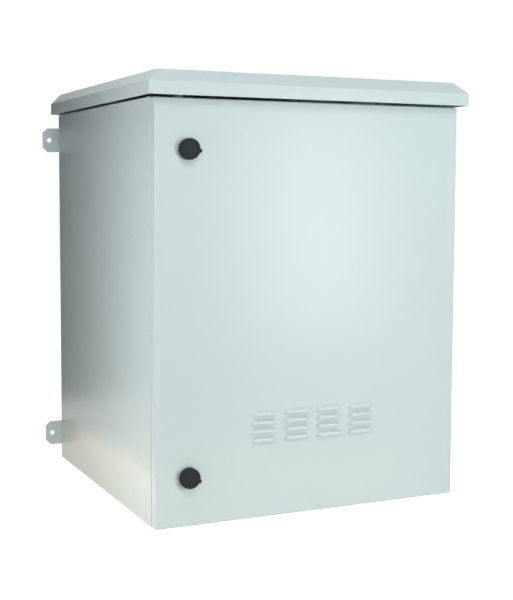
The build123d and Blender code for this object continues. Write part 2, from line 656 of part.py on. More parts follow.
# Hinges: a cranked arm on the door frame, a pin and a forked leaf inside the door's edge
for level, hinge_z in HINGE_Z.items():
    arm_low = hinge_z - HINGE_ARM_HEIGHT / 2
    with BuildPart() as hinge_arm:
        with BuildSketch(Plane(origin=(HINGE_X, HINGE_Y, arm_low), x_dir=(1, 0, 0), z_dir=(0, 0, 1))):
            folded_strip(
                [
                    (0, -HINGE_ARM_BACK),
                    (-HINGE_FOOT_OUT, -HINGE_ARM_BACK),
                    (-HINGE_FOOT_OUT, HINGE_FORWARD - HINGE_ARM_THICKNESS),
                    (-HINGE_FOOT_OUT - HINGE_FOOT_LENGTH, HINGE_FORWARD - HINGE_ARM_THICKNESS),
                ],
                [BEND_INSIDE + HINGE_ARM_THICKNESS, BEND_INSIDE],
                Side.RIGHT,
                HINGE_ARM_THICKNESS,
            )
            Circle(HINGE_KNUCKLE_RADIUS)
            Circle(HINGE_PIN_RADIUS + RUNNING, mode=Mode.SUBTRACT)
        extrude(amount=HINGE_ARM_HEIGHT)
        with BuildSketch(wall_plane(FRAME_Y)):
            with Locations(*[place for place in HINGE_SCREWS if abs(place[1] - hinge_z) < HINGE_ARM_HEIGHT]):
                Circle(M5_RADIUS + HOLE_CLEARANCE)
        extrude(amount=HINGE_ARM_THICKNESS, mode=Mode.SUBTRACT)
    label_and_write(hinge_arm.part, f"{level}_hinge_arm")

    fork_low = arm_low - HINGE_GAP - HINGE_FORK_HEIGHT
    leaf_height = HINGE_ARM_HEIGHT + 2 * (HINGE_GAP + HINGE_FORK_HEIGHT)
    with BuildPart() as hinge_leaf:
        with BuildSketch(Plane(origin=(HINGE_X, HINGE_Y, fork_low), x_dir=(1, 0, 0), z_dir=(0, 0, 1))):
            folded_strip(
                [
                    (HINGE_KNUCKLE_RADIUS, 0),
                    (HINGE_KNUCKLE_RADIUS, SKIN_Y - HINGE_Y),
                    (HINGE_KNUCKLE_RADIUS - HINGE_LEAF_LENGTH, SKIN_Y - HINGE_Y),
                ],
                BEND_INSIDE + HINGE_LEAF_THICKNESS,
                Side.RIGHT,
                HINGE_LEAF_THICKNESS,
            )
            Circle(HINGE_KNUCKLE_RADIUS)
            Circle(HINGE_PIN_RADIUS + RUNNING, mode=Mode.SUBTRACT)
        extrude(amount=leaf_height)
        # the gap between the two knuckles, where the arm's knuckle turns
        with BuildSketch(Plane(origin=(HINGE_X, HINGE_Y, arm_low - HINGE_GAP), x_dir=(1, 0, 0), z_dir=(0, 0, 1))):
            Circle(HINGE_KNUCKLE_RADIUS + 2 * HINGE_GAP)
            Rectangle(
                2 * (HINGE_KNUCKLE_RADIUS + HINGE_GAP),
                HINGE_KNUCKLE_RADIUS + HINGE_GAP,
                align=(Align.CENTER, Align.MAX),
            )
        extrude(amount=HINGE_ARM_HEIGHT + 2 * HINGE_GAP, mode=Mode.SUBTRACT)
    label_and_write(hinge_leaf.part, f"{level}_hinge_leaf")

    with BuildPart() as hinge_pin:
        with BuildSketch(Plane(origin=(HINGE_X, HINGE_Y, fork_low), x_dir=(1, 0, 0), z_dir=(0, 0, 1))):
            Circle(HINGE_PIN_RADIUS)
        extrude(amount=leaf_height + HINGE_GAP)
        with BuildSketch(
            Plane(origin=(HINGE_X, HINGE_Y, fork_low + leaf_height + HINGE_GAP), x_dir=(1, 0, 0), z_dir=(0, 0, 1))
        ):
            Circle(HINGE_KNUCKLE_RADIUS - HINGE_GAP)
        extrude(amount=HINGE_PIN_HEAD)
    label_and_write(hinge_pin.part, f"{level}_hinge_pin")

with BuildPart() as hinge_screws:
    with BuildSketch(wall_plane(FRAME_Y - HINGE_ARM_THICKNESS)):
        with Locations(*HINGE_SCREWS):
            Circle(M5_HEAD_RADIUS)
    extrude(amount=M5_HEAD_HEIGHT)
    with BuildSketch(wall_plane(FRAME_Y - HINGE_ARM_THICKNESS)):
        with Locations(*HINGE_SCREWS):
            Circle(M5_RADIUS)
    extrude(amount=-(HINGE_ARM_THICKNESS + SHEET + THREAD_SPARE))
label_and_write(hinge_screws.part, "hinge_screws")

# Door: a pan with returns all round, lock holes and pressed louvres
LOCKS = {
    "upper": (LOCK_FROM_EDGE - HALF, DOOR_TOP - LOCK_FROM_END),
    "lower": (LOCK_FROM_EDGE - HALF, DOOR_BOTTOM + LOCK_FROM_END),
}
LOUVRES = [
    (
        (column - (LOUVRE_COLUMNS - 1) / 2) * LOUVRE_COLUMN_PITCH,
        DOOR_BOTTOM + LOUVRE_LOWEST_LIP + row * LOUVRE_ROW_PITCH,
    )
    for column in range(LOUVRE_COLUMNS)
    for row in range(LOUVRE_ROWS)
]
FILTER_WIDTH = (LOUVRE_COLUMNS - 1) * LOUVRE_COLUMN_PITCH + LOUVRE_WIDTH + 2 * FILTER_MARGIN
FILTER_HEIGHT = (LOUVRE_ROWS - 1) * LOUVRE_ROW_PITCH + LOUVRE_HEIGHT + 2 * FILTER_MARGIN
FILTER_Z = DOOR_BOTTOM + LOUVRE_LOWEST_LIP + FILTER_HEIGHT / 2 - FILTER_MARGIN
FILTER_CELL_PITCH = (FILTER_WIDTH - FILTER_BAR) / FILTER_CELLS
FILTER_STUD_RISE = FILTER_HEIGHT / 3
FILTER_STUDS = [
    (side * (FILTER_WIDTH + FILTER_FOOT) / 2, FILTER_Z + end * FILTER_STUD_RISE)
    for side in SIDES.values()
    for end in (-1, 1)
]


def hood_profile(height, proud, back):
    """Half section of a louvre: two bends from its lip up to the door, and a square back."""
    with BuildLine() as half:
        Polyline(
            (proud, 0),
            (proud * LOUVRE_BEND_PROUD, height * LOUVRE_BEND_RISE),
            (0, height),
            (-back, height),
            (-back, 0),
            close=True,
        )
    make_face(half.edges())


def hood(x, z, height, proud, back, mode):
    """A louvre's hood with rounded ends, or the hollow inside it, added at the lip's middle."""
    straight = LOUVRE_WIDTH / 2 - LOUVRE_HEIGHT
    with BuildSketch(hood_plane(x + straight, z)) as section:
        hood_profile(height, proud, back)
    extrude(section.sketch, amount=2 * straight, mode=mode)
    for end in SIDES.values():
        with BuildSketch(hood_plane(x + end * straight, z)) as section:
            hood_profile(height, proud, back)
        revolve(
            section.sketch,
            axis=Axis((x + end * straight, DOOR_Y, z), (0, end, 0)),
            revolution_arc=90,
            mode=mode,
        )


def hood_plane(x, z):
    """The upright plane across a louvre: its sketch x points out of the door, its y up."""
    return Plane(origin=(x, DOOR_Y, z), x_dir=(0, -1, 0), z_dir=(-1, 0, 0))


with BuildPart() as door_panel:
    with BuildSketch(wall_plane(DOOR_Y + DOOR_DEPTH)):
        with Locations((0, CENTRE_Z)):
            Rectangle(BODY_WIDTH, DOOR_HEIGHT)
    extrude(amount=DOOR_DEPTH)
    front_face = door_panel.faces().sort_by(Axis.Y)[0]
    fillet(door_panel.edges().filter_by(Axis.Y) + front_face.edges(), BEND_OUTSIDE)
    offset(amount=-SHEET, openings=door_panel.faces().sort_by(Axis.Y)[-1])
    for x, z in LOUVRES:
        hood(x, z, LOUVRE_HEIGHT, LOUVRE_PROUD, SHEET / 2, Mode.ADD)
    for x, z in LOUVRES:
        hood(x, z, LOUVRE_HEIGHT - LOUVRE_WALL, LOUVRE_PROUD - LOUVRE_WALL, 2 * SHEET, Mode.SUBTRACT)
    with BuildSketch(wall_plane(DOOR_Y)):
        with Locations(*LOCKS.values()):
            Circle(BARREL_RADIUS + LOCK_HOLE_CLEARANCE)
    extrude(amount=-SHEET, mode=Mode.SUBTRACT)
    # studs that hold the filter frame
    with BuildSketch(wall_plane(SKIN_Y)):
        with Locations(*FILTER_STUDS):
            Circle(M5_RADIUS)
    extrude(amount=-(FILTER_SHEET + M5_NUT + THREAD_SPARE / 2))
label_and_write(door_panel.part, "door_panel")

# Door gasket: a foamed ring in line with the door frame's lip
GASKET_CENTRE_X = LIP_X + SHEET / 2
GASKET_CENTRE_Z = CENTRE_Z - LIP_LOW + SHEET / 2
GASKET_HEIGHT = LIP_Y - GASKET_REST - SKIN_Y
with BuildPart() as door_gasket:
    with BuildSketch(wall_plane(SKIN_Y)):
        with Locations((0, CENTRE_Z)):
            RectangleRounded(
                2 * GASKET_CENTRE_X + GASKET_WIDTH, 2 * GASKET_CENTRE_Z + GASKET_WIDTH, GASKET_WIDTH
            )
            Rectangle(
                2 * GASKET_CENTRE_X - GASKET_WIDTH,
                2 * GASKET_CENTRE_Z - GASKET_WIDTH,
                mode=Mode.SUBTRACT,
            )
    extrude(amount=-GASKET_HEIGHT)
label_and_write(door_gasket.part, "door_gasket")

# Door stiffeners: upright hat sections welded on the inside of the door
STIFFENER_X = HALF - STIFFENER_FROM_EDGE
STIFFENER_LOW = DOOR_BOTTOM + STIFFENER_FROM_END
STIFFENER_HEIGHT = DOOR_HEIGHT - 2 * STIFFENER_FROM_END
for side, sign in SIDES.items():
    with BuildPart() as stiffener:
        with BuildSketch(Plane(origin=(sign * STIFFENER_X, SKIN_Y, STIFFENER_LOW), x_dir=(1, 0, 0), z_dir=(0, 0, 1))):
            half_web = STIFFENER_WEB / 2
            folded_strip(
                [
                    (-half_web - STIFFENER_FOOT, SHEET),
                    (-half_web, SHEET),
                    (-half_web, STIFFENER_DEPTH),
                    (half_web, STIFFENER_DEPTH),
                    (half_web, SHEET),
                    (half_web + STIFFENER_FOOT, SHEET),
                ],
                [BEND_INSIDE, BEND_OUTSIDE, BEND_OUTSIDE, BEND_INSIDE],
                Side.RIGHT,
            )
        extrude(amount=STIFFENER_HEIGHT)
    label_and_write(stiffener.part, f"{side}_door_stiffener")

# Filter behind the louvres: a mat in a windowed tray on four studs
with BuildPart() as filter_mat:
    with BuildSketch(wall_plane(SKIN_Y)):
        with Locations((0, FILTER_Z)):
            Rectangle(FILTER_WIDTH - 2 * FILTER_SHEET, FILTER_HEIGHT - 2 * FILTER_SHEET)
    extrude(amount=-FILTER_MAT_THICKNESS)
label_and_write(filter_mat.part, "filter_mat")

with BuildPart() as filter_frame:
    with BuildSketch(wall_plane(SKIN_Y)):
        with Locations((0, FILTER_Z)):
            Rectangle(FILTER_WIDTH, FILTER_HEIGHT)
            Rectangle(
                FILTER_WIDTH - 2 * FILTER_SHEET, FILTER_HEIGHT - 2 * FILTER_SHEET, mode=Mode.SUBTRACT
            )
    extrude(amount=-FILTER_MAT_THICKNESS)
    with BuildSketch(wall_plane(SKIN_Y + FILTER_MAT_THICKNESS)):
        with Locations((0, FILTER_Z)):
            Rectangle(FILTER_WIDTH, FILTER_HEIGHT)
            with GridLocations(FILTER_CELL_PITCH, 0, FILTER_CELLS, 1):
                Rectangle(FILTER_CELL_PITCH - FILTER_BAR, FILTER_HEIGHT - 2 * FILTER_BAR, mode=Mode.SUBTRACT)
    extrude(amount=-FILTER_SHEET)
    with BuildSketch(wall_plane(SKIN_Y)):
        for side in SIDES.values():
            with Locations((side * (FILTER_WIDTH + FILTER_FOOT) / 2, FILTER_Z)):
                Rectangle(FILTER_FOOT, FILTER_HEIGHT)
        with Locations(*FILTER_STUDS):
            Circle(M5_RADIUS + HOLE_CLEARANCE, mode=Mode.SUBTRACT)
    extrude(amount=-FILTER_SHEET)
label_and_write(filter_frame.part, "filter_frame")

with BuildPart() as filter_nuts:
    with BuildSketch(wall_plane(SKIN_Y + FILTER_SHEET)):
        with Locations(*FILTER_STUDS):
            hexagon(M5_HEX)
            Circle(M5_RADIUS + RUNNING, mode=Mode.SUBTRACT)
    extrude(amount=-M5_NUT)
label_and_write(filter_nuts.part, "filter_nuts")

# Locks: heights below are measured out of the door along the lock's axis
CAM_FRONT = DOOR_Y - FRAME_Y - SHEET - CAM_CLEARANCE
CAM_BACK = CAM_FRONT - CAM_THICKNESS
BARREL_END = CAM_FRONT + RUNNING
ROTOR_SEAT = LOCK_FLANGE_HEIGHT - ROTOR_HEAD_HEIGHT
CAP_FACE_RADIUS = CAP_RADIUS - CAP_RING
CAP_INNER = CAP_RADIUS - CAP_WALL
CAP_NOTCH_WIDTH = CAP_KNUCKLE_WIDTH + 2 * (HINGE_GAP + CAP_LUG_THICKNESS + HINGE_GAP)
CAP_NOTCH_DEPTH = 2 * CAP_WALL + CAP_NOTCH_SPARE
LUG_RADIUS = CAP_KNUCKLE_RADIUS - LUG_RELIEF


def lock_face(level, height=0.0, turn=0.0):
    """The plane across a lock's axis at a height out of the door; x points along the cap's tab."""
    x, z = LOCKS[level]
    angle = radians(turn)
    return Plane(origin=(x, DOOR_Y - height, z), x_dir=(cos(angle), 0, -sin(angle)), z_dir=(0, -1, 0))


def lock_section(level, turn=0.0, along=0.0):
    """The plane through a lock's axis: x is the way to the cap's tab, y points out of the door."""
    x, z = LOCKS[level]
    angle = radians(turn)
    return Plane(
        origin=(x + along * sin(angle), DOOR_Y, z + along * cos(angle)),
        x_dir=(cos(angle), 0, -sin(angle)),
        z_dir=(-sin(angle), 0, -cos(angle)),
    )


def lock_axis(level):
    """A lock's axis, pointing out of the door."""
    x, z = LOCKS[level]
    return Axis((x, DOOR_Y, z), (0, -1, 0))


def revolved_outline(level, points, turn=0.0):
    """Revolve a closed half section about a lock's axis."""
    with BuildSketch(lock_section(level, turn)) as half:
        with BuildLine():
            Polyline(*points, close=True)
        make_face()
    revolve(half.sketch, axis=lock_axis(level))


for level, turn in LOCK_TURNS.items():
    sweep_way = -1 if level == "upper" else 1

    with BuildPart() as lock_housing:
        revolved_outline(
            level,
            [
                (ROTOR_RADIUS + RUNNING, BARREL_END),
                (BARREL_RADIUS, BARREL_END),
                (BARREL_RADIUS, 0),
                (LOCK_FLANGE_RADIUS, 0),
                (LOCK_FLANGE_RADIUS, LOCK_FLANGE_HEIGHT),
                (ROTOR_HEAD_RADIUS + RUNNING, LOCK_FLANGE_HEIGHT),
                (ROTOR_HEAD_RADIUS + RUNNING, ROTOR_SEAT),
                (ROTOR_RADIUS + RUNNING, ROTOR_SEAT),
            ],
        )
        # two lugs that hold the cap's pin
        lug_middle = CAP_KNUCKLE_WIDTH / 2 + HINGE_GAP + CAP_LUG_THICKNESS / 2
        for along in (-lug_middle, lug_middle):
            with BuildSketch(lock_section(level, turn, along)):
                with Locations((-CAP_HINGE_OUT, CAP_HINGE_HEIGHT)):
                    Circle(LUG_RADIUS)
                with BuildLine():
                    Polyline(
                        (-CAP_HINGE_OUT - LUG_RADIUS, CAP_HINGE_HEIGHT),
                        (-CAP_HINGE_OUT, CAP_HINGE_HEIGHT - LUG_RADIUS),
                        (-CAP_HINGE_OUT, 0),
                        (-BARREL_RADIUS, 0),
                        (-BARREL_RADIUS, LOCK_FLANGE_HEIGHT),
                        (-CAP_HINGE_OUT, CAP_HINGE_HEIGHT + LUG_RADIUS),
                        close=True,
                    )
                make_face()
                with Locations((-CAP_HINGE_OUT, CAP_HINGE_HEIGHT)):
                    Circle(CAP_PIN_RADIUS + RUNNING, mode=Mode.SUBTRACT)
            extrude(amount=CAP_LUG_THICKNESS / 2, both=True)
    label_and_write(lock_housing.part, f"{level}_lock_housing")

    with BuildPart() as lock_nut:
        with BuildSketch(lock_face(level, -SHEET)):
            hexagon(LOCK_NUT_HEX)
            Circle(BARREL_RADIUS + RUNNING, mode=Mode.SUBTRACT)
        extrude(amount=-LOCK_NUT_HEIGHT)
    label_and_write(lock_nut.part, f"{level}_lock_nut")

    with BuildPart() as lock_rotor:
        revolved_outline(
            level,
            [
                (0, CAM_FRONT),
                (ROTOR_RADIUS, CAM_FRONT),
                (ROTOR_RADIUS, ROTOR_SEAT),
                (ROTOR_HEAD_RADIUS, ROTOR_SEAT),
                (ROTOR_HEAD_RADIUS, LOCK_FLANGE_HEIGHT),
                (0, LOCK_FLANGE_HEIGHT),
            ],
        )
        with BuildSketch(lock_face(level, CAM_FRONT)):
            Rectangle(SPIGOT, SPIGOT)
        extrude(amount=-CAM_THICKNESS)
        with BuildSketch(lock_face(level, LOCK_FLANGE_HEIGHT)):
            RegularPolygon(KEY_RADIUS, 3)
        extrude(amount=-KEY_DEPTH, mode=Mode.SUBTRACT)
        with BuildSketch(lock_face(level, CAM_BACK)):
            Circle(M6_RADIUS + RUNNING)
        extrude(amount=CAM_SCREW_DEPTH, mode=Mode.SUBTRACT)
    label_and_write(lock_rotor.part, f"{level}_lock_rotor")

    with BuildPart() as lock_cam:
        with BuildSketch(lock_face(level, CAM_FRONT)) as cam_outline:
            Circle(CAM_HUB_RADIUS)
            with Locations((0, sweep_way * (CAM_REACH - CAM_TIP_RADIUS))):
                Circle(CAM_TIP_RADIUS)
            make_hull()
            Rectangle(SPIGOT + 2 * RUNNING, SPIGOT + 2 * RUNNING, mode=Mode.SUBTRACT)
        extrude(amount=-CAM_THICKNESS)
    label_and_write(lock_cam.part, f"{level}_lock_cam")

    with BuildPart() as cam_screw:
        with BuildSketch(lock_face(level, CAM_BACK)):
            Circle(CAM_WASHER_RADIUS)
        extrude(amount=-SHEET)
        with BuildSketch(lock_face(level, CAM_BACK - SHEET)):
            hexagon(M6_HEX)
        extrude(amount=-BOLT_HEAD)
        with BuildSketch(lock_face(level, CAM_BACK)):
            Circle(M6_RADIUS)
        extrude(amount=CAM_SCREW_DEPTH - RUNNING)
    label_and_write(cam_screw.part, f"{level}_cam_screw")

    # the dust cap: a cup with a finger tab, hinged opposite the tab
    with BuildPart() as lock_cap:
        revolved_outline(
            level,
            [
                (0, CAP_HEIGHT - CAP_TOP_STEP - CAP_WALL),
                (CAP_INNER - CAP_WALL, CAP_HEIGHT - CAP_TOP_STEP - CAP_WALL),
                (CAP_INNER, CAP_HEIGHT - CAP_TOP_STEP - 2 * CAP_WALL),
                (CAP_INNER, CAP_LIFT),
                (CAP_RADIUS, CAP_LIFT),
                (CAP_RADIUS, CAP_HEIGHT - CAP_EDGE),
                (CAP_RADIUS - CAP_EDGE_FLAT, CAP_HEIGHT - CAP_EDGE_FLAT),
                (CAP_RADIUS - CAP_EDGE, CAP_HEIGHT),
                (CAP_FACE_RADIUS, CAP_HEIGHT),
                (CAP_FACE_RADIUS - CAP_TOP_STEP, CAP_HEIGHT - CAP_TOP_STEP),
                (0, CAP_HEIGHT - CAP_TOP_STEP),
            ],
        )
        with BuildSketch(lock_face(level, CAP_LIFT, turn)):
            with Locations((CAP_RADIUS - CAP_WALL / 2, 0)):
                Rectangle(TAB_LENGTH + CAP_WALL / 2, TAB_WIDTH, align=(Align.MIN, Align.CENTER))
        extrude(amount=TAB_HEIGHT)
        # room for the housing's lugs
        with BuildSketch(lock_face(level, CAP_LIFT, turn)):
            with Locations((-CAP_HINGE_OUT, 0)):
                Rectangle(CAP_NOTCH_DEPTH, CAP_NOTCH_WIDTH)
        extrude(amount=CAP_HINGE_HEIGHT + CAP_KNUCKLE_RADIUS, mode=Mode.SUBTRACT)
        # the knuckle between the lugs, with its web up to the cap's wall
        with BuildSketch(lock_section(level, turn)):
            with Locations((-CAP_HINGE_OUT, CAP_HINGE_HEIGHT)):
                Circle(CAP_KNUCKLE_RADIUS)
            with Locations((-(CAP_RADIUS + CAP_INNER) / 2, CAP_HINGE_HEIGHT)):
                Rectangle(CAP_WALL, CAP_WEB_HEIGHT, align=(Align.CENTER, Align.MIN))
            with Locations((-CAP_HINGE_OUT, CAP_HINGE_HEIGHT)):
                Circle(CAP_PIN_RADIUS + RUNNING, mode=Mode.SUBTRACT)
        extrude(amount=CAP_KNUCKLE_WIDTH / 2, both=True)
    label_and_write(lock_cap.part, f"{level}_lock_cap")

    with BuildPart() as cap_pin:
        with BuildSketch(lock_section(level, turn)):
            with Locations((-CAP_HINGE_OUT, CAP_HINGE_HEIGHT)):
                Circle(CAP_PIN_RADIUS)
        extrude(amount=CAP_KNUCKLE_WIDTH / 2 + HINGE_GAP + CAP_LUG_THICKNESS, both=True)
    label_and_write(cap_pin.part, f"{level}_cap_pin")
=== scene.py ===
"""Outdoor equipment cabinet: its looks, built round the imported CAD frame.

The body, canopy, ears and rails are the CAD's own folded sheets with a powder coat or zinc finish.
The pressed door skin, the dust caps, the gasket, the filter fleece, the grommets and the fasteners
are finer pieces made here. Every length is in metres and the frame is the CAD's: origin on the
floor at the centre of the footprint, +Z up, the door faces -Y.
"""

import json
import logging
import math
from dataclasses import dataclass
from enum import Enum

import bmesh
import bpy
from mathutils import Matrix, Vector
from mathutils.geometry import delaunay_2d_cdt


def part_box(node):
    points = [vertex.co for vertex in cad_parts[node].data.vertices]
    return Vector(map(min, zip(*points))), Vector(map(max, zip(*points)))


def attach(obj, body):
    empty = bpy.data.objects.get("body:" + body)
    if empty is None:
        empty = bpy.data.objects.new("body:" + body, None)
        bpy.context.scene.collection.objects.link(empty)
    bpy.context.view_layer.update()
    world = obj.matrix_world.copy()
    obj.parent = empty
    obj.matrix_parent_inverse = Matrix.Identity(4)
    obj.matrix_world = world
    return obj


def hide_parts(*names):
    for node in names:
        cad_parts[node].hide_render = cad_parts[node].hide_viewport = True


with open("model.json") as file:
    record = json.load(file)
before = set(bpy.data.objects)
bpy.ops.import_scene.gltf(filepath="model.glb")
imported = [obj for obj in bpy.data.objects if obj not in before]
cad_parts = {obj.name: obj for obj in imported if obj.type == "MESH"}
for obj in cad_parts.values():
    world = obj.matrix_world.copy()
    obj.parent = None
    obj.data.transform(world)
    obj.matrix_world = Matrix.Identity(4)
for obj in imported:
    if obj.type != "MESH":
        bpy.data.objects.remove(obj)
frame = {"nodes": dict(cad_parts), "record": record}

logging.basicConfig(level=logging.INFO, format="%(name)s: %(message)s")
LOG = logging.getLogger("cabinet")
MM = 0.001
IMAGE_WIDTH = 513
IMAGE_HEIGHT = 600


class Body(Enum):
    """The bodies that a piece can ride on."""

    CABINET = "cabinet"
    DOOR = "door"
    UPPER_CAP = "upper_cap"
    LOWER_CAP = "lower_cap"
    UPPER_LOCK = "upper_lock"
    LOWER_LOCK = "lower_lock"


class Slot(Enum):
    """The material slots of the record."""

    POWDER_COAT = "powder_coat"
    ZINC_STEEL = "zinc_steel"
    BLACK_PLASTIC = "black_plastic"
    SEAL_RUBBER = "seal_rubber"
    SEAL_FOAM = "seal_foam"
    FILTER_FLEECE = "filter_fleece"


def srgb(colour: str) -> tuple[float, float, float, float]:
    """Turn an sRGB hex colour into Blender's linear colour.

    Args:
        colour: Six hex digits, with or without a leading hash.

    Returns:
        Linear red, green and blue, and an alpha of 1.
    """
    digits = colour.lstrip("#")
    levels = [int(digits[i : i + 2], 16) / 255 for i in (0, 2, 4)]
    linear = [v / 12.92 if v <= 0.04045 else ((v + 0.055) / 1.055) ** 2.4 for v in levels]
    return (linear[0], linear[1], linear[2], 1.0)


def add_node(tree: bpy.types.NodeTree, kind: str, links: dict | None = None, **settings) -> bpy.types.Node:
    """Add one node, set it up and link its inputs.

    Args:
        tree: The node tree that gets the node.
        kind: The node's type, such as ShaderNodeMath.
        links: Input name or index to the output socket that feeds it, or to a plain value.
        **settings: Attributes of the node itself.

    Returns:
        The new node.
    """
    node = tree.nodes.new(kind)
    for name, value in settings.items():
        setattr(node, name, value)
    for name, value in (links or {}).items():
        socket = node.inputs[name]
        if isinstance(value, bpy.types.NodeSocket):
            tree.links.new(value, socket)
        else:
            socket.default_value = value
    return node


def new_material(name: str) -> tuple[bpy.types.Material, bpy.types.NodeTree, bpy.types.Node]:
    """Start a node material.

    Args:
        name: The material's name.

    Returns:
        The material, its node tree and its Principled shader.
    """
    material = bpy.data.materials.new(name)
    material.use_nodes = True
    tree = material.node_tree
    tree.nodes.clear()
    shader = add_node(tree, "ShaderNodeBsdfPrincipled")
    add_node(tree, "ShaderNodeOutputMaterial", {"Surface": shader.outputs["BSDF"]})
    return material, tree, shader


@dataclass(frozen=True)
class Relief:
    """How far a pattern raises a surface."""

    pattern: bpy.types.NodeSocket
    height: float
    strength: float = 1.0


def dress_shader(
    tree: bpy.types.NodeTree,
    shader: bpy.types.Node,
    tint: bpy.types.NodeSocket,
    colours: tuple[str, str],
    roughness: float,
    relief: Relief | None = None,
) -> None:
    """Colour a shader between two tones by a pattern, and set its roughness and bump.

    Args:
        tree: The material's node tree.
        shader: Its Principled shader.
        tint: The pattern that mixes the two tones.
        colours: The tones where the pattern is 0 and 1, as sRGB hex.
        roughness: The shader's even roughness.
        relief: What raises the surface, if anything does.
    """
    tone = add_node(
        tree,
        "ShaderNodeMix",
        {"Factor": tint, "A": srgb(colours[0]), "B": srgb(colours[1])},
        data_type="RGBA",
    )
    tree.links.new(tone.outputs["Result"], shader.inputs["Base Color"])
    shader.inputs["Roughness"].default_value = roughness
    if relief:
        given = {"Height": relief.pattern, "Distance": relief.height, "Strength": relief.strength}
        bump = add_node(tree, "ShaderNodeBump", given)
        tree.links.new(bump.outputs["Normal"], shader.inputs["Normal"])


def vary_gloss(
    tree: bpy.types.NodeTree,
    shader: bpy.types.Node,
    pattern: bpy.types.NodeSocket,
    middle: float,
    spread: float,
) -> None:
    """Let a pattern move a shader's roughness a little either way.

    Args:
        tree: The material's node tree.
        shader: Its Principled shader.
        pattern: The noise that the roughness follows.
        middle: The roughness in the middle of the noise's range.
        spread: How far it moves either way.
    """
    given = {"Value": pattern, "From Min": 0.3, "From Max": 0.7}
    given |= {"To Min": middle - spread, "To Max": middle + spread}
    gloss = add_node(tree, "ShaderNodeMapRange", given)
    tree.links.new(gloss.outputs["Result"], shader.inputs["Roughness"])


@dataclass(frozen=True)
class PowderCoat:
    """Light grey polyester powder coat on folded sheet steel.

    The powder flows out into a faint orange peel, so that highlights are broad and slightly
    uneven; the tone drifts a little across a sheet with the film's thickness.
    """

    colour: str = "#CAD9DA"
    thin_colour: str = "#C6D5D5"
    roughness: float = 0.27
    # a peel of about 3 mm is drawn at 5 mm, the finest that the picture can show
    peel_pitch: float = 5 * MM
    peel_height: float = 0.0008 * MM
    drift_pitch: float = 180 * MM
    gloss_spread: float = 0.004

    def make(self) -> bpy.types.Material:
        """Build the material.

        Returns:
            The material.
        """
        material, tree, shader = new_material("powder_coat")
        place = add_node(tree, "ShaderNodeTexCoord").outputs["Object"]
        drift = add_node(
            tree,
            "ShaderNodeTexNoise",
            {"Vector": place, "Scale": 1 / self.drift_pitch, "Detail": 3.0, "Roughness": 0.55},
        ).outputs["Fac"]
        peel = add_node(
            tree,
            "ShaderNodeTexNoise",
            {"Vector": place, "Scale": 1 / self.peel_pitch, "Detail": 2.0, "Roughness": 0.5},
        ).outputs["Fac"]
        relief = Relief(peel, self.peel_height)
        dress_shader(tree, shader, drift, (self.colour, self.thin_colour), self.roughness, relief)
        vary_gloss(tree, shader, peel, self.roughness, self.gloss_spread)
        shader.inputs["IOR"].default_value = 1.45
        shader.inputs["Specular IOR Level"].default_value = 0.2
        return material


@dataclass(frozen=True)
class ZincSteel:
    """Electro-galvanised steel: a cool, thin metal film with soft cloudy patches."""

    colour: str = "#B7BCC0"
    cloud_colour: str = "#A4AAAF"
    roughness: float = 0.34
    cloud_pitch: float = 9 * MM
    grain_pitch: float = 1.2 * MM
    grain_height: float = 0.01 * MM
    gloss_spread: float = 0.07

    def make(self) -> bpy.types.Material:
        """Build the material.

        Returns:
            The material.
        """
        material, tree, shader = new_material("zinc_steel")
        place = add_node(tree, "ShaderNodeTexCoord").outputs["Object"]
        cloud = add_node(
            tree,
            "ShaderNodeTexNoise",
            {"Vector": place, "Scale": 1 / self.cloud_pitch, "Detail": 4.0, "Roughness": 0.6},
        ).outputs["Fac"]
        grain = add_node(
            tree,
            "ShaderNodeTexNoise",
            {"Vector": place, "Scale": 1 / self.grain_pitch, "Detail": 2.0, "Roughness": 0.5},
        ).outputs["Fac"]
        relief = Relief(grain, self.grain_height)
        dress_shader(tree, shader, cloud, (self.colour, self.cloud_colour), self.roughness, relief)
        vary_gloss(tree, shader, cloud, self.roughness, self.gloss_spread)
        shader.inputs["Metallic"].default_value = 1.0
        return material


@dataclass(frozen=True)
class BlackPolyamide:
    """Glass-filled polyamide, moulded against a spark-eroded tool: a fine matt grain whose raised tops are painted
    lighter, a painted highlight.
    """

    colour: str = "#1A2021"
    # painted highlight: the lighter tone given to the grain's raised tops
    painted_grain_highlight_colour: str = "#222829"
    roughness: float = 0.55
    # the spark grain of about 0.2 mm is drawn at 0.8 mm, so that it shows at all
    grain_pitch: float = 0.8 * MM
    grain_height: float = 0.02 * MM

    def make(self) -> bpy.types.Material:
        """Build the material.

        Returns:
            The material.
        """
        material, tree, shader = new_material("black_polyamide")
        place = add_node(tree, "ShaderNodeTexCoord").outputs["Object"]
        grain = add_node(
            tree,
            "ShaderNodeTexNoise",
            {"Vector": place, "Scale": 1 / self.grain_pitch, "Detail": 3.0, "Roughness": 0.6},
        ).outputs["Fac"]
        relief = Relief(grain, self.grain_height)
        # the grain both raises the surface and lightens its raised tops, a painted highlight
        dress_shader(tree, shader, grain, (self.colour, self.painted_grain_highlight_colour), self.roughness, relief)
        shader.inputs["IOR"].default_value = 1.53
        shader.inputs["Specular IOR Level"].default_value = 0.14
        return material


@dataclass(frozen=True)
class SealRubber:
    """Black EPDM rubber, moulded and lightly bloomed: matt, a touch grey."""

    colour: str = "#1D1E1F"
    bloom_colour: str = "#2C2D2E"
    roughness: float = 0.62
    bloom_pitch: float = 6 * MM

    def make(self) -> bpy.types.Material:
        """Build the material.

        Returns:
            The material.
        """
        material, tree, shader = new_material("seal_rubber")
        place = add_node(tree, "ShaderNodeTexCoord").outputs["Object"]
        bloom = add_node(
            tree,
            "ShaderNodeTexNoise",
            {"Vector": place, "Scale": 1 / self.bloom_pitch, "Detail": 4.0, "Roughness": 0.6},
        ).outputs["Fac"]
        dress_shader(tree, shader, bloom, (self.colour, self.bloom_colour), self.roughness)
        shader.inputs["IOR"].default_value = 1.52
        return material


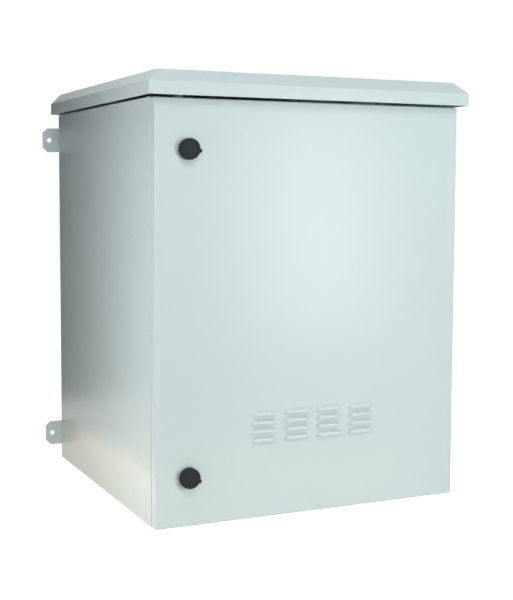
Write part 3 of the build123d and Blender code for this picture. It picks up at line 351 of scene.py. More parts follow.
@dataclass(frozen=True)
class SealFoam:
    """Polyurethane foam bead, foamed in place: a dull skin with small open cells, whose hollows are painted darker as
    painted shade.
    """

    colour: str = "#3B3D3E"
    # painted shade: the darker tone at the bottom of each cell's hollow
    painted_cell_shade_colour: str = "#242627"
    roughness: float = 0.85
    cell_pitch: float = 1.1 * MM
    cell_depth: float = 0.18 * MM

    def make(self) -> bpy.types.Material:
        """Build the material.

        Returns:
            The material.
        """
        material, tree, shader = new_material("seal_foam")
        place = add_node(tree, "ShaderNodeTexCoord").outputs["Object"]
        given = {"Vector": place, "Scale": 1 / self.cell_pitch}
        cells = add_node(tree, "ShaderNodeTexVoronoi", given).outputs["Distance"]
        relief = Relief(cells, self.cell_depth, 0.6)
        # the cells' pits take the darker tone, a painted shade that follows the bump
        dress_shader(tree, shader, cells, (self.painted_cell_shade_colour, self.colour), self.roughness, relief)
        return material


@dataclass(frozen=True)
class FilterFleece:
    """Bonded polyester fleece: off-white fibres laid crosswise, soft and lightless; the low places between fibres are
    painted darker as painted shade.
    """

    colour: str = "#E4E5E0"
    # painted shade: the darker tone of the low places between fibres
    painted_gap_shade_colour: str = "#B4B7B2"
    roughness: float = 0.95
    fibre_pitch: float = 0.9 * MM
    fibre_height: float = 0.35 * MM

    def make(self) -> bpy.types.Material:
        """Build the material.

        Returns:
            The material.
        """
        material, tree, shader = new_material("filter_fleece")
        place = add_node(tree, "ShaderNodeTexCoord").outputs["Object"]
        layers = []
        for stretch in ((1.0, 1.0, 0.25), (0.25, 1.0, 1.0)):
            way = add_node(tree, "ShaderNodeMapping", {"Vector": place, "Scale": stretch})
            given = {"Vector": way.outputs["Vector"], "Scale": 1 / self.fibre_pitch}
            given |= {"Detail": 5.0, "Roughness": 0.7, "Distortion": 0.8}
            layers.append(add_node(tree, "ShaderNodeTexNoise", given).outputs["Fac"])
        fibres = add_node(tree, "ShaderNodeMath", {0: layers[0], 1: layers[1]}, operation="MAXIMUM")
        given = {"Value": fibres.outputs["Value"], "From Min": 0.42, "From Max": 0.68}
        spread = add_node(tree, "ShaderNodeMapRange", given).outputs["Result"]
        relief = Relief(spread, self.fibre_height, 0.7)
        # the fibres' low places take the darker tone, a painted shade that follows the bump
        dress_shader(tree, shader, spread, (self.painted_gap_shade_colour, self.colour), self.roughness, relief)
        shader.inputs["Sheen Weight"].default_value = 0.25
        return material


class Palette:
    """One material for each slot, made once and handed to every piece."""

    def __init__(self) -> None:
        """Build the six finishes."""
        self.materials: dict[Slot, bpy.types.Material] = {
            Slot.POWDER_COAT: PowderCoat().make(),
            Slot.ZINC_STEEL: ZincSteel().make(),
            Slot.BLACK_PLASTIC: BlackPolyamide().make(),
            Slot.SEAL_RUBBER: SealRubber().make(),
            Slot.SEAL_FOAM: SealFoam().make(),
            Slot.FILTER_FLEECE: FilterFleece().make(),
        }

    def dress_frame(self) -> None:
        """Give every CAD node the finish of its own slot."""
        slot_of = {entry["node"]: entry["material_slot"] for entry in frame["record"]["subparts"]}
        for name, node in frame["nodes"].items():
            material = self.materials[Slot(slot_of[name])]
            node.data.materials.clear()
            node.data.materials.append(material)


def new_object(name: str, mesh: bpy.types.Mesh) -> bpy.types.Object:
    """Put a mesh into the scene as an object at the origin.

    Args:
        name: The piece's name.
        mesh: Its mesh, already in place.

    Returns:
        The new object.
    """
    piece = bpy.data.objects.new(name, mesh)
    bpy.context.scene.collection.objects.link(piece)
    return piece


def apply_modifiers(piece: bpy.types.Object) -> None:
    """Turn a piece and its modifiers into one plain mesh.

    Args:
        piece: The object whose modifiers are used up.
    """
    bpy.context.view_layer.update()
    graph = bpy.context.evaluated_depsgraph_get()
    plain = bpy.data.meshes.new_from_object(piece.evaluated_get(graph), depsgraph=graph)
    piece.modifiers.clear()
    old = piece.data
    piece.data = plain
    plain.name = piece.name
    bpy.data.meshes.remove(old)


def run_tree(piece: bpy.types.Object, tree: bpy.types.NodeTree, inputs: dict[str, object]) -> None:
    """Run a geometry tree on a piece and keep the result as its plain mesh.

    Args:
        piece: The object that carries the tree.
        tree: The geometry node tree.
        inputs: Values for the tree's named inputs.
    """
    modifier = piece.modifiers.new(tree.name, "NODES")
    modifier.node_group = tree
    for item in tree.interface.items_tree:
        if item.item_type == "SOCKET" and item.in_out == "INPUT" and item.name in inputs:
            modifier[item.identifier] = inputs[item.name]
    apply_modifiers(piece)


class GeometryTree:
    """A geometry node tree under construction: named inputs, math in one line, one output."""

    def __init__(self, name: str, inputs: dict[str, str]) -> None:
        """Start a tree.

        Args:
            name: The tree's name.
            inputs: Each input's name and its socket type, such as NodeSocketFloat.
        """
        self.tree = bpy.data.node_groups.new(name, "GeometryNodeTree")
        self.tree.interface.new_socket("Geometry", in_out="INPUT", socket_type="NodeSocketGeometry")
        for label, kind in inputs.items():
            self.tree.interface.new_socket(label, in_out="INPUT", socket_type=kind)
        self.tree.interface.new_socket("Geometry", in_out="OUTPUT", socket_type="NodeSocketGeometry")
        self.inputs = self.add("NodeGroupInput").outputs

    def add(self, kind: str, links: dict | None = None, **settings) -> bpy.types.Node:
        """Add a node to this tree."""
        return add_node(self.tree, kind, links, **settings)

    def math(self, operation: str, *values: object) -> bpy.types.NodeSocket:
        """Add one math node and return its result."""
        return self.add("ShaderNodeMath", dict(enumerate(values)), operation=operation).outputs["Value"]

    def finish(self, geometry: bpy.types.NodeSocket, material: bpy.types.NodeSocket) -> bpy.types.NodeTree:
        """End the tree in Realize Instances and Set Material.

        Args:
            geometry: What the tree has made.
            material: The material it gets.

        Returns:
            The finished tree.
        """
        real = self.add("GeometryNodeRealizeInstances", {"Geometry": geometry})
        given = {"Geometry": real.outputs["Geometry"], "Material": material}
        dressed = self.add("GeometryNodeSetMaterial", given)
        self.add("NodeGroupOutput", {"Geometry": dressed.outputs["Geometry"]})
        return self.tree


def soften(piece: bpy.types.Object, angle: float = 38.0) -> None:
    """Shade a piece smooth, with its folds sharp and its flat faces left flat.

    Args:
        piece: The object.
        angle: Folds above this many degrees stay sharp.
    """
    piece.data.shade_smooth()
    piece.data.set_sharp_from_angle(angle=math.radians(angle))
    weighted = piece.modifiers.new("flat_faces", "WEIGHTED_NORMAL")
    weighted.keep_sharp = True
    weighted.weight = 80
    apply_modifiers(piece)

def solid_boxes(node: str) -> list[tuple[Vector, Vector]]:
    """Find the box of each separate solid in a CAD node.

    Args:
        node: The CAD node's name.

    Returns:
        The low and the high corner of each solid.
    """
    copy = bmesh.new()
    source = frame["nodes"][node]
    copy.from_mesh(source.data)
    copy.transform(source.matrix_world)
    bmesh.ops.remove_doubles(copy, verts=copy.verts, dist=0.002 * MM)
    boxes = []
    waiting = set(copy.verts)
    while waiting:
        group = [waiting.pop()]
        corners = []
        while group:
            vert = group.pop()
            corners.append(vert.co.copy())
            for edge in vert.link_edges:
                other = edge.other_vert(vert)
                if other in waiting:
                    waiting.remove(other)
                    group.append(other)
        low = Vector([min(c[i] for c in corners) for i in range(3)])
        high = Vector([max(c[i] for c in corners) for i in range(3)])
        boxes.append((low, high))
    copy.free()
    return boxes


def revolve(shell: bmesh.types.BMesh, outline: list[tuple[float, float]], place: Matrix, steps: int) -> None:
    """Turn an outline about an axis and close it.

    Args:
        shell: The mesh under construction.
        outline: Radius and height of each point, in order; a closed loop, or ending on the axis at both ends.
        place: Takes the axis, its z, to where the piece is.
        steps: Number of steps round the axis.
    """
    rings = []
    for radius, height in outline:
        angles = [2 * math.pi * i / steps for i in range(steps)]
        spots = [Vector((radius * math.cos(a), radius * math.sin(a), height)) for a in angles]
        rings.append([shell.verts.new(place @ spot) for spot in spots])
    pairs = list(zip(rings, rings[1:]))
    if outline[0][0] > 0 or outline[-1][0] > 0:
        pairs.append((rings[-1], rings[0]))
    for lower, upper in pairs:
        for i in range(steps):
            j = (i + 1) % steps
            shell.faces.new((lower[i], lower[j], upper[j], upper[i]))


def close_shell(shell: bmesh.types.BMesh, name: str) -> bpy.types.Object:
    """Merge a shell's doubles, turn its faces outwards and make it an object.

    Args:
        shell: The mesh under construction, which is used up.
        name: The piece's name.

    Returns:
        The new object.
    """
    bmesh.ops.remove_doubles(shell, verts=shell.verts, dist=0.002 * MM)
    bmesh.ops.dissolve_degenerate(shell, edges=shell.edges, dist=0.0005 * MM)
    bmesh.ops.recalc_face_normals(shell, faces=shell.faces)
    mesh = bpy.data.meshes.new(name)
    shell.to_mesh(mesh)
    shell.free()
    return new_object(name, mesh)


def hand_over(piece: bpy.types.Object, finish: bpy.types.Material, slot: Slot, body: Body, *nodes: str) -> None:
    """Give a piece its finish and put it on its body in place of its CAD nodes.

    Args:
        piece: The finished piece.
        finish: Its material.
        slot: The record's slot for that material; it is not used.
        body: The body it rides on.
        *nodes: The CAD nodes that it stands for.
    """
    piece.data.materials.clear()
    piece.data.materials.append(finish)
    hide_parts(*nodes)
    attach(piece, body.value)
    LOG.info("%s: %d faces", piece.name, len(piece.data.polygons))


@dataclass
class LouvreField:
    """Sixteen louvres pressed out of the door, hooded above and open below, in four columns."""

    columns: int = 4
    rows: int = 4
    column_pitch: float = 65 * MM
    row_pitch: float = 15.4 * MM
    width: float = 51.5 * MM
    height: float = 9.6 * MM
    proud: float = 5.2 * MM
    margin: float = 1.6 * MM
    fullness: float = 2.3
    lowest_lip: float = 137.5 * MM
    steps_across: int = 60
    steps_up: int = 12

    @property
    def patch_width(self) -> float:
        """Width of the patch of sheet that one louvre takes."""
        return self.width + 2 * self.margin

    @property
    def patch_height(self) -> float:
        """Height of that patch, from the lip up."""
        return self.height + self.margin

    def lips(self) -> list[tuple[float, float]]:
        """Find the middle of each louvre's lip.

        Returns:
            The middles, as x and z, column by column.
        """
        return [
            ((column - (self.columns - 1) / 2) * self.column_pitch, self.lowest_lip + row * self.row_pitch)
            for column in range(self.columns)
            for row in range(self.rows)
        ]

    def tree(self) -> bpy.types.NodeTree:
        """The tree that presses one patch and repeats it over the field.

        Returns:
            A geometry tree whose hoods rise from the sheet in a smooth draw with round ends.
        """
        made = GeometryTree(
            "louvre_field",
            {
                "Columns": "NodeSocketInt",
                "Rows": "NodeSocketInt",
                "Column Pitch": "NodeSocketFloat",
                "Row Pitch": "NodeSocketFloat",
                "Width": "NodeSocketFloat",
                "Height": "NodeSocketFloat",
                "Proud": "NodeSocketFloat",
                "Margin": "NodeSocketFloat",
                "Fullness": "NodeSocketFloat",
                "Sheet Y": "NodeSocketFloat",
                "Lowest Lip": "NodeSocketFloat",
                "Material": "NodeSocketMaterial",
            },
        )
        given = made.inputs
        patch_width = made.math("MULTIPLY_ADD", given["Margin"], 2.0, given["Width"])
        patch_height = made.math("ADD", given["Margin"], given["Height"])
        patch = made.add(
            "GeometryNodeMeshGrid",
            {
                "Size X": patch_width,
                "Size Y": patch_height,
                "Vertices X": self.steps_across + 1,
                "Vertices Y": self.steps_up + 1,
            },
        )
        place = made.add("ShaderNodeSeparateXYZ", {0: made.add("GeometryNodeInputPosition").outputs["Position"]})
        across = place.outputs["X"]
        up = made.math("MULTIPLY_ADD", patch_height, 0.5, place.outputs["Y"])
        straight = made.math("MULTIPLY_ADD", given["Width"], 0.5, made.math("MULTIPLY", given["Height"], -1.0))
        beyond = made.math("MAXIMUM", made.math("SUBTRACT", made.math("ABSOLUTE", across), straight), 0.0)
        reach = made.math(
            "SQRT", made.math("ADD", made.math("MULTIPLY", beyond, beyond), made.math("MULTIPLY", up, up))
        )
        share = made.math("MINIMUM", made.math("DIVIDE", reach, given["Height"]), 1.0)
        turn = made.math("MULTIPLY", made.math("POWER", share, given["Fullness"]), math.pi)
        rise = made.math("MULTIPLY_ADD", made.math("COSINE", turn), 0.5, 0.5)
        out = made.math("SUBTRACT", given["Sheet Y"], made.math("MULTIPLY", rise, given["Proud"]))
        pressed = made.add(
            "GeometryNodeSetPosition",
            {
                "Geometry": patch.outputs["Mesh"],
                "Position": made.add("ShaderNodeCombineXYZ", {"X": across, "Y": out, "Z": up}).outputs["Vector"],
            },
        )
        index = made.add("GeometryNodeInputIndex").outputs["Index"]
        column = made.math("FLOOR", made.math("DIVIDE", index, given["Rows"]))
        row = made.math("SUBTRACT", index, made.math("MULTIPLY", column, given["Rows"]))
        middle = made.math("MULTIPLY_ADD", given["Columns"], 0.5, -0.5)
        spot = made.add(
            "ShaderNodeCombineXYZ",
            {
                "X": made.math("MULTIPLY", made.math("SUBTRACT", column, middle), given["Column Pitch"]),
                "Z": made.math("MULTIPLY_ADD", row, given["Row Pitch"], given["Lowest Lip"]),
            },
        )
        points = made.add(
            "GeometryNodePoints",
            {"Count": made.math("MULTIPLY", given["Columns"], given["Rows"]), "Position": spot.outputs["Vector"]},
        )
        field = made.add(
            "GeometryNodeInstanceOnPoints",
            {"Points": points.outputs["Points"], "Instance": pressed.outputs["Geometry"]},
        )
        return made.finish(field.outputs["Instances"], given["Material"])

    def build(self, sheet_y: float, finish: bpy.types.Material) -> bpy.types.Object:
        """Press the field.

        Args:
            sheet_y: The plane of the door's outer face.
            finish: The door's finish.

        Returns:
            An object whose mesh is the sixteen open patches.
        """
        piece = new_object("louvre_field", bpy.data.meshes.new("louvre_field"))
        run_tree(
            piece,
            self.tree(),
            {
                "Columns": self.columns,
                "Rows": self.rows,
                "Column Pitch": self.column_pitch,
                "Row Pitch": self.row_pitch,
                "Width": self.width,
                "Height": self.height,
                "Proud": self.proud,
                "Margin": self.margin,
                "Fullness": self.fullness,
                "Sheet Y": sheet_y,
                "Lowest Lip": self.lowest_lip,
                "Material": finish,
            },
        )
        return piece


@dataclass
class DoorSkin:
    """The door's folded pan, with its pressed louvres and lock holes, as one closed sheet."""

    louvres: LouvreField
    sheet: float = 1.5 * MM
    bend: float = 2.5 * MM
    flat_rim: float = 1.5 * MM
    lock_hole: float = 11.2 * MM
    lock_inset: float = 60 * MM
    lock_from_end: float = 85.5 * MM
    bend_steps: int = 8
    hole_steps: int = 64

    def build(self, finish: bpy.types.Material) -> bpy.types.Object:
        """Make the door skin in place of its CAD node.

        Args:
            finish: The powder coat.

        Returns:
            The door skin.
        """
        low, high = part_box("door_panel")
        self.left, self.right, self.bottom, self.top = low.x, high.x, low.z, high.z
        self.back = high.y
        self.front = self.back - 20 * MM
        shell = bmesh.new()
        field = self.louvres.build(self.front, finish)
        shell.from_mesh(field.data)
        bpy.data.objects.remove(field)
        self.fill_front(shell)
        self.fold_returns(shell)
        bmesh.ops.remove_doubles(shell, verts=shell.verts, dist=0.005 * MM)
        bmesh.ops.recalc_face_normals(shell, faces=shell.faces)
        mesh = bpy.data.meshes.new("door_skin")
        shell.to_mesh(mesh)
        shell.free()
        mesh.materials.append(finish)
        skin = new_object("door_skin", mesh)
        wall = skin.modifiers.new("sheet", "SOLIDIFY")
        wall.thickness = self.sheet
        wall.offset = -1.0
        wall.use_even_offset = True
        wall.use_quality_normals = True
        apply_modifiers(skin)
        soften(skin)
        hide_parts("door_panel")
        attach(skin, Body.DOOR.value)
        return skin

    def lock_places(self) -> list[tuple[float, float]]:
        """The middle of each lock hole, as x and z."""
        x = self.left + self.lock_inset
        return [(x, self.top - self.lock_from_end), (x, self.bottom + self.lock_from_end)]

    def fill_front(self, shell: bmesh.types.BMesh) -> None:
        """Fill the flat front round the louvres and the lock holes.

        Args:
            shell: The mesh under construction, which already holds the louvre patches.
        """
        points: list[Vector] = []
        edges: list[tuple[int, int]] = []
        inset = self.bend + self.flat_rim
        corners = [
            (self.left + inset, self.bottom + inset),
            (self.right - inset, self.bottom + inset),
            (self.right - inset, self.top - inset),
            (self.left + inset, self.top - inset),
        ]
        rings = [corners]
        for x, z in self.lock_places():
            angles = [2 * math.pi * i / self.hole_steps for i in range(self.hole_steps)]
            hole = self.lock_hole
            rings.append([(x + hole * math.cos(a), z + hole * math.sin(a)) for a in angles])
        half = self.louvres.patch_width / 2
        for x, z in self.louvres.lips():
            across, up, tall = self.louvres.steps_across, self.louvres.steps_up, self.louvres.patch_height
            xs = [x - half + 2 * half * i / across for i in range(across + 1)]
            zs = [z + tall * i / up for i in range(up + 1)]
            ring = [(a, zs[0]) for a in xs] + [(xs[-1], b) for b in zs[1:]]
            ring += [(a, zs[-1]) for a in reversed(xs[:-1])] + [(xs[0], b) for b in reversed(zs[1:-1])]
            rings.append(ring)
        for ring in rings:
            start = len(points)
            points += [Vector(p) for p in ring]
            edges += [(start + i, start + (i + 1) % len(ring)) for i in range(len(ring))]
        found, _, triangles, *_ = delaunay_2d_cdt(points, edges, [], 1, 1e-7)
        verts = [shell.verts.new((p.x, self.front, p.y)) for p in found]
        for triangle in triangles:
            middle = sum((found[i] for i in triangle), Vector((0.0, 0.0))) / 3
            if not self.is_open(middle.x, middle.y):
                shell.faces.new([verts[i] for i in triangle])

    def is_open(self, x: float, z: float) -> bool:
        """Tell whether a point of the front lies in a louvre patch or a lock hole."""
        half, rise = self.louvres.patch_width / 2, self.louvres.patch_height
        in_patch = any(abs(x - a) < half and 0 < z - b < rise for a, b in self.louvres.lips())
        return in_patch or any(math.hypot(x - a, z - b) < self.lock_hole for a, b in self.lock_places())

    def fold_returns(self, shell: bmesh.types.BMesh) -> None:
        """Add the bends and the returns round the front.

        Args:
            shell: The mesh under construction.
        """
        sections = [(self.bend + self.flat_rim, self.front), (self.bend, self.front)]
        for i in range(1, self.bend_steps + 1):
            turn = math.pi / 2 * i / self.bend_steps
            sections.append((self.bend * (1 - math.sin(turn)), self.front + self.bend * (1 - math.cos(turn))))
        sections.append((0.0, self.front + self.bend + self.flat_rim))
        sections.append((0.0, self.back - self.flat_rim))
        sections.append((0.0, self.back))
        loops = []
        for inset, y in sections:
            radius = max(self.bend - inset, 0.0)
            loop = []
            for x, z, first in (
                (self.right, self.top, 0),
                (self.left, self.top, 1),
                (self.left, self.bottom, 2),
                (self.right, self.bottom, 3),
            ):
                way_x = 1 if first in (0, 3) else -1
                way_z = 1 if first in (0, 1) else -1
                for i in range(self.bend_steps + 1):
                    angle = math.pi / 2 * (first + i / self.bend_steps)
                    at_x = x - way_x * (inset + radius) + radius * math.cos(angle)
                    at_z = z - way_z * (inset + radius) + radius * math.sin(angle)
                    loop.append(shell.verts.new((at_x, y, at_z)))
            loops.append(loop)
        for inner, outer in zip(loops, loops[1:]):
            count = len(inner)
            for i in range(count):
                j = (i + 1) % count
                shell.faces.new((inner[i], inner[j], outer[j], outer[i]))


@dataclass
class DustCap:
    """A lock's dust cap: a moulded cup with a raised rim, a finger tab and a hinge knuckle."""

    level: str
    turn: float
    body: Body
    radius: float = 18 * MM
    height: float = 13 * MM
    wall: float = 1.8 * MM
    lift: float = 1 * MM
    edge: float = 2.8 * MM
    ring: float = 4 * MM
    step: float = 0.7 * MM
    notch_width: float = 12.6 * MM
    notch_top: float = 5.9 * MM
    tab_length: float = 6 * MM
    tab_width: float = 6.4 * MM
    tab_height: float = 4 * MM
    tab_ribs: int = 3
    hinge_out: float = 16.5 * MM
    hinge_height: float = 3 * MM
    knuckle_radius: float = 1.9 * MM
    knuckle_width: float = 6.2 * MM
    bore_radius: float = 0.89 * MM
    door_face: float = -292 * MM
    steps: int = 120

    def build(self, finish: bpy.types.Material) -> bpy.types.Object:
        """Make the cap in place of its CAD node.

        Args:
            finish: The black polyamide.

        Returns:
            The cap.
        """
        node = f"{self.level}_lock_cap"
        nut_low, nut_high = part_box(f"{self.level}_lock_nut")
        middle = (nut_low + nut_high) / 2
        self.place = self.axes(Vector((middle.x, self.door_face, middle.z)))
        shell = bmesh.new()
        self.add_cup(shell)
        self.add_tab(shell)
        self.add_knuckle(shell)
        cap = close_shell(shell, f"{self.level}_dust_cap")
        soften(cap, 32.0)
        hand_over(cap, finish, Slot.BLACK_PLASTIC, self.body, node)
        return cap

    def axes(self, origin: Vector) -> Matrix:
        """The cap's own axes: x to the tab, z out of the door.

        Args:
            origin: The lock's middle on the door's face.

        Returns:
            The matrix from the cap's axes to the frame's.
        """
        angle = math.radians(self.turn)
        along = Vector((math.cos(angle), 0.0, -math.sin(angle)))
        across = Vector((math.sin(angle), 0.0, math.cos(angle)))
        turned = Matrix((along, across, Vector((0.0, -1.0, 0.0)))).transposed().to_4x4()
        return Matrix.Translation(origin) @ turned

    def add_cup(self, shell: bmesh.types.BMesh) -> None:
        """Turn the cup, with its rim rounded and its skirt cut away at the hinge.

        Args:
            shell: The mesh that gets the cup.
        """
        face = self.height - self.step
        inner = self.radius - self.wall
        outline = [(0.0, face - self.wall), (inner - self.wall, face - self.wall)]
        outline += [(inner, face - 2 * self.wall), (inner, self.lift)]
        soft = 0.35 * MM
        outline += [(self.radius - soft, self.lift), (self.radius, self.lift + soft)]
        for i in range(9):
            angle = math.pi / 2 * i / 8
            outline.append(
                (
                    self.radius - self.edge * (1 - math.cos(angle)),
                    self.height - self.edge * (1 - math.sin(angle)),
                )
            )
        lip = self.radius - self.ring
        outline += [(lip + soft, self.height), (lip, self.height - soft), (lip - soft, face), (0.0, face)]
        half = math.asin(self.notch_width / 2 / self.radius)
        cut = 0.002
        angles = [math.pi - half - cut, math.pi - half, math.pi + half, math.pi + half + cut]
        angles += [2 * math.pi * i / self.steps for i in range(self.steps)]
        angles.sort()
        columns = []
        for angle in angles:
            open_here = abs(angle - math.pi) <= half + cut / 2
            column = []
            for radius, height in outline:
                level = max(height, self.notch_top) if open_here and radius > inner - self.wall else height
                spot = Vector((radius * math.cos(angle), radius * math.sin(angle), level))
                column.append(shell.verts.new(self.place @ spot))
            columns.append(column)
        for i, column in enumerate(columns):
            following = columns[(i + 1) % len(columns)]
            for a, b, c, d in zip(column, following, following[1:], column[1:]):
                shell.faces.new((a, b, c, d))

    def add_tab(self, shell: bmesh.types.BMesh) -> None:
        """Add the finger tab, with grip ribs across its top and its corners rounded.

        Args:
            shell: The mesh that gets the tab.
        """
        start, end = self.radius - self.wall / 2, self.radius + self.tab_length
        outline = []
        corner = 1.4 * MM
        half = self.tab_width / 2
        for way in (-1, 1):
            for i in range(7):
                angle = math.pi / 2 * i / 6
                reach, out = corner * math.sin(angle), corner * math.cos(angle)
                if way < 0:
                    outline.append((end - corner + reach, -(half - corner + out)))
                else:
                    outline.append((end - corner + out, half - corner + reach))
        outline += [(start, half), (start, -half)]
        crests = []
        soft = 0.4 * MM
        for inset, height in ((soft, self.lift), (0.0, self.lift + soft)):
            crests.append((inset, height))
        top = self.lift + self.tab_height
        crests += [(0.0, top - 1.5 * soft), (0.5 * soft, top - 0.5 * soft), (1.5 * soft, top)]
        rings = []
        for inset, height in crests:
            middle = Vector(((start + end) / 2, 0.0))
            ring = []
            for x, y in outline:
                at_x = x - inset if x > middle.x else x
                at_y = y * (1 - inset / half)
                ring.append(shell.verts.new(self.place @ Vector((at_x, at_y, height))))
            rings.append(ring)
        for lower, upper in zip(rings, rings[1:]):
            for i in range(len(lower)):
                j = (i + 1) % len(lower)
                shell.faces.new((lower[i], lower[j], upper[j], upper[i]))
        shell.faces.new(list(reversed(rings[0])))
        shell.faces.new(rings[-1])
        pitch = self.tab_length / (self.tab_ribs + 1)
        for i in range(self.tab_ribs):
            x = self.radius + 0.3 * MM + pitch * (i + 0.5)
            turned = self.place @ Matrix.Translation((x, 0.0, top - 0.35 * MM))
            turned = turned @ Matrix.Rotation(math.pi / 2, 4, "X")
            rib = [(0.0, -half + 0.9 * MM), (0.35 * MM, -half + 1.1 * MM)]
            rib += [(0.35 * MM, half - 1.1 * MM), (0.0, half - 0.9 * MM)]
            revolve(shell, rib, turned, 12)

    def add_knuckle(self, shell: bmesh.types.BMesh) -> None:
        """Add the knuckle round the pin and the web that joins it to the cup.

        Args:
            shell: The mesh that gets the knuckle.
        """
        along = self.place @ Matrix.Translation((-self.hinge_out, 0.0, self.hinge_height))
        along = along @ Matrix.Rotation(math.pi / 2, 4, "X")
        half, soft = self.knuckle_width / 2, 0.3 * MM
        outline = [
            (self.bore_radius, -half),
            (self.knuckle_radius - soft, -half),
            (self.knuckle_radius, -half + soft),
            (self.knuckle_radius, half - soft),
            (self.knuckle_radius - soft, half),
            (self.bore_radius, half),
        ]
        revolve(shell, outline, along, 32)
        low, high = self.hinge_height + 1.2 * MM, self.notch_top + 0.4 * MM
        xs = (-self.radius + 0.1 * MM, -self.radius + self.wall)
        corners = [
            shell.verts.new(self.place @ Vector((x, y, z)))
            for x in xs
            for y in (-half, half)
            for z in (low, high)
        ]
        for side in ((0, 1, 3, 2), (4, 6, 7, 5), (0, 4, 5, 1), (2, 3, 7, 6), (0, 2, 6, 4), (1, 5, 7, 3)):
            shell.faces.new([corners[i] for i in side])


@dataclass
class DoorGasket:
    """The foam bead that the door presses on the frame's lip: flat below, crowned above."""

    width: float = 12 * MM
    corner: float = 8.5 * MM
    corner_steps: int = 10
    crown_steps: int = 18
    straight_steps: int = 60

    def build(self, finish: bpy.types.Material) -> bpy.types.Object:
        """Make the bead in place of its CAD node.

        Args:
            finish: The foam.

        Returns:
            The gasket.
        """
        low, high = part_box("door_gasket")
        inset = self.width / 2
        path = self.path(low.x + inset, high.x - inset, low.z + inset, high.z - inset)
        half, rise = self.width / 2 - 0.05 * MM, high.y - low.y - 0.05 * MM
        section = [(-half * 0.93, 0.02 * MM)]
        for i in range(self.crown_steps + 1):
            angle = math.pi * i / self.crown_steps
            flat = abs(math.cos(angle)) ** 0.62 * math.copysign(1.0, -math.cos(angle))
            section.append((half * flat, 1.6 * MM + (rise - 1.6 * MM) * math.sin(angle) ** 0.72))
        section.append((half * 0.93, 0.02 * MM))
        shell = bmesh.new()
        rings = []
        for spot, outward in path:
            rings.append(
                [shell.verts.new((spot.x + outward.x * a, low.y + b, spot.y + outward.y * a)) for a, b in section]
            )
        for i, ring in enumerate(rings):
            following = rings[(i + 1) % len(rings)]
            for j in range(len(ring)):
                k = (j + 1) % len(ring)
                shell.faces.new((ring[j], ring[k], following[k], following[j]))
        bead = close_shell(shell, "foam_gasket")
        soften(bead, 60.0)
        hand_over(bead, finish, Slot.SEAL_FOAM, Body.DOOR, "door_gasket")
        return bead

    def path(self, left: float, right: float, bottom: float, top: float) -> list[tuple[Vector, Vector]]:
        """The bead's middle line.

        Args:
            left: Its left side.
            right: Its right side.
            bottom: Its lowest side.
            top: Its highest side.

        Returns:
            Each point with the direction that faces out of the ring.
        """
        spots = []
        corners = ((right, top), (left, top), (left, bottom), (right, bottom))
        for first, (x, z) in enumerate(corners):
            middle = Vector((x - math.copysign(self.corner, x), z - (self.corner if z == top else -self.corner)))
            for i in range(self.corner_steps + 1):
                angle = math.pi / 2 * (first + i / self.corner_steps)
                outward = Vector((math.cos(angle), math.sin(angle)))
                spots.append((middle + outward * self.corner, outward))
            end = spots[-1][0]
            following = corners[(first + 1) % 4]
            way = Vector((-math.sin(angle), math.cos(angle)))
            length = abs((Vector(following) - end).dot(way)) - self.corner
            for i in range(1, self.straight_steps):
                spots.append((end + way * length * i / self.straight_steps, outward))
        return spots


@dataclass
class FilterFleeceMat:
    """The fleece mat behind the louvres: cut from the roll, with soft crowned faces and edges."""

    steps_x: int = 132
    steps_z: int = 40
    edge: float = 3.2 * MM
    loft: float = 0.35 * MM
    cells: int = 4
    bar: float = 8 * MM

    def build(self, finish: bpy.types.Material) -> bpy.types.Object:
        """Make the mat in place of its CAD node.

        Args:
            finish: The fleece.

        Returns:
            The mat.
        """
        low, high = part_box("filter_mat")
        middle, size = (low + high) / 2, high - low
        half_x, half_z, thickness = size.x / 2 - 0.3 * MM, size.z / 2 - 0.3 * MM, size.y - 0.1 * MM
        shell = bmesh.new()
        faces = []
        for way in (-1, 1):
            grid = []
            for i in range(self.steps_x + 1):
                x = -half_x + 2 * half_x * i / self.steps_x
                row = []
                for j in range(self.steps_z + 1):
                    z = -half_z + 2 * half_z * j / self.steps_z
                    inside = min(half_x - abs(x), half_z - abs(z))
                    round_off = 1 - max(0.0, 1 - inside / self.edge) ** 2.2
                    pillow = self.pillow(x, half_x) if way > 0 else 1.0
                    out = thickness / 2 * (0.25 + 0.75 * round_off) - self.loft * (1 - pillow)
                    row.append(shell.verts.new((middle.x + x, middle.y + way * out, middle.z + z)))
                grid.append(row)
            faces.append(grid)
            for i in range(self.steps_x):
                for j in range(self.steps_z):
                    shell.faces.new((grid[i][j], grid[i + 1][j], grid[i + 1][j + 1], grid[i][j + 1]))
        front, back = faces
        rim = [(i, 0) for i in range(self.steps_x)] + [(self.steps_x, j) for j in range(self.steps_z)]
        rim += [(i, self.steps_z) for i in range(self.steps_x, 0, -1)]
        rim += [(0, j) for j in range(self.steps_z, 0, -1)]
        for (a, b), (c, d) in zip(rim, rim[1:] + rim[:1]):
            shell.faces.new((front[a][b], front[c][d], back[c][d], back[a][b]))
        mat = close_shell(shell, "fleece_mat")
        soften(mat, 75.0)
        hand_over(mat, finish, Slot.FILTER_FLEECE, Body.DOOR, "filter_mat")
        return mat

    def pillow(self, x: float, half: float) -> float:
        """How far the mat lofts between the frame's bars, from 0 on a bar to 1 between two."""
        cell = 2 * half / self.cells
        from_bar = min(abs(x + half - i * cell) for i in range(self.cells + 1)) - self.bar / 2
        return min(1.0, max(0.0, from_bar / (2.2 * self.bar))) ** 0.5


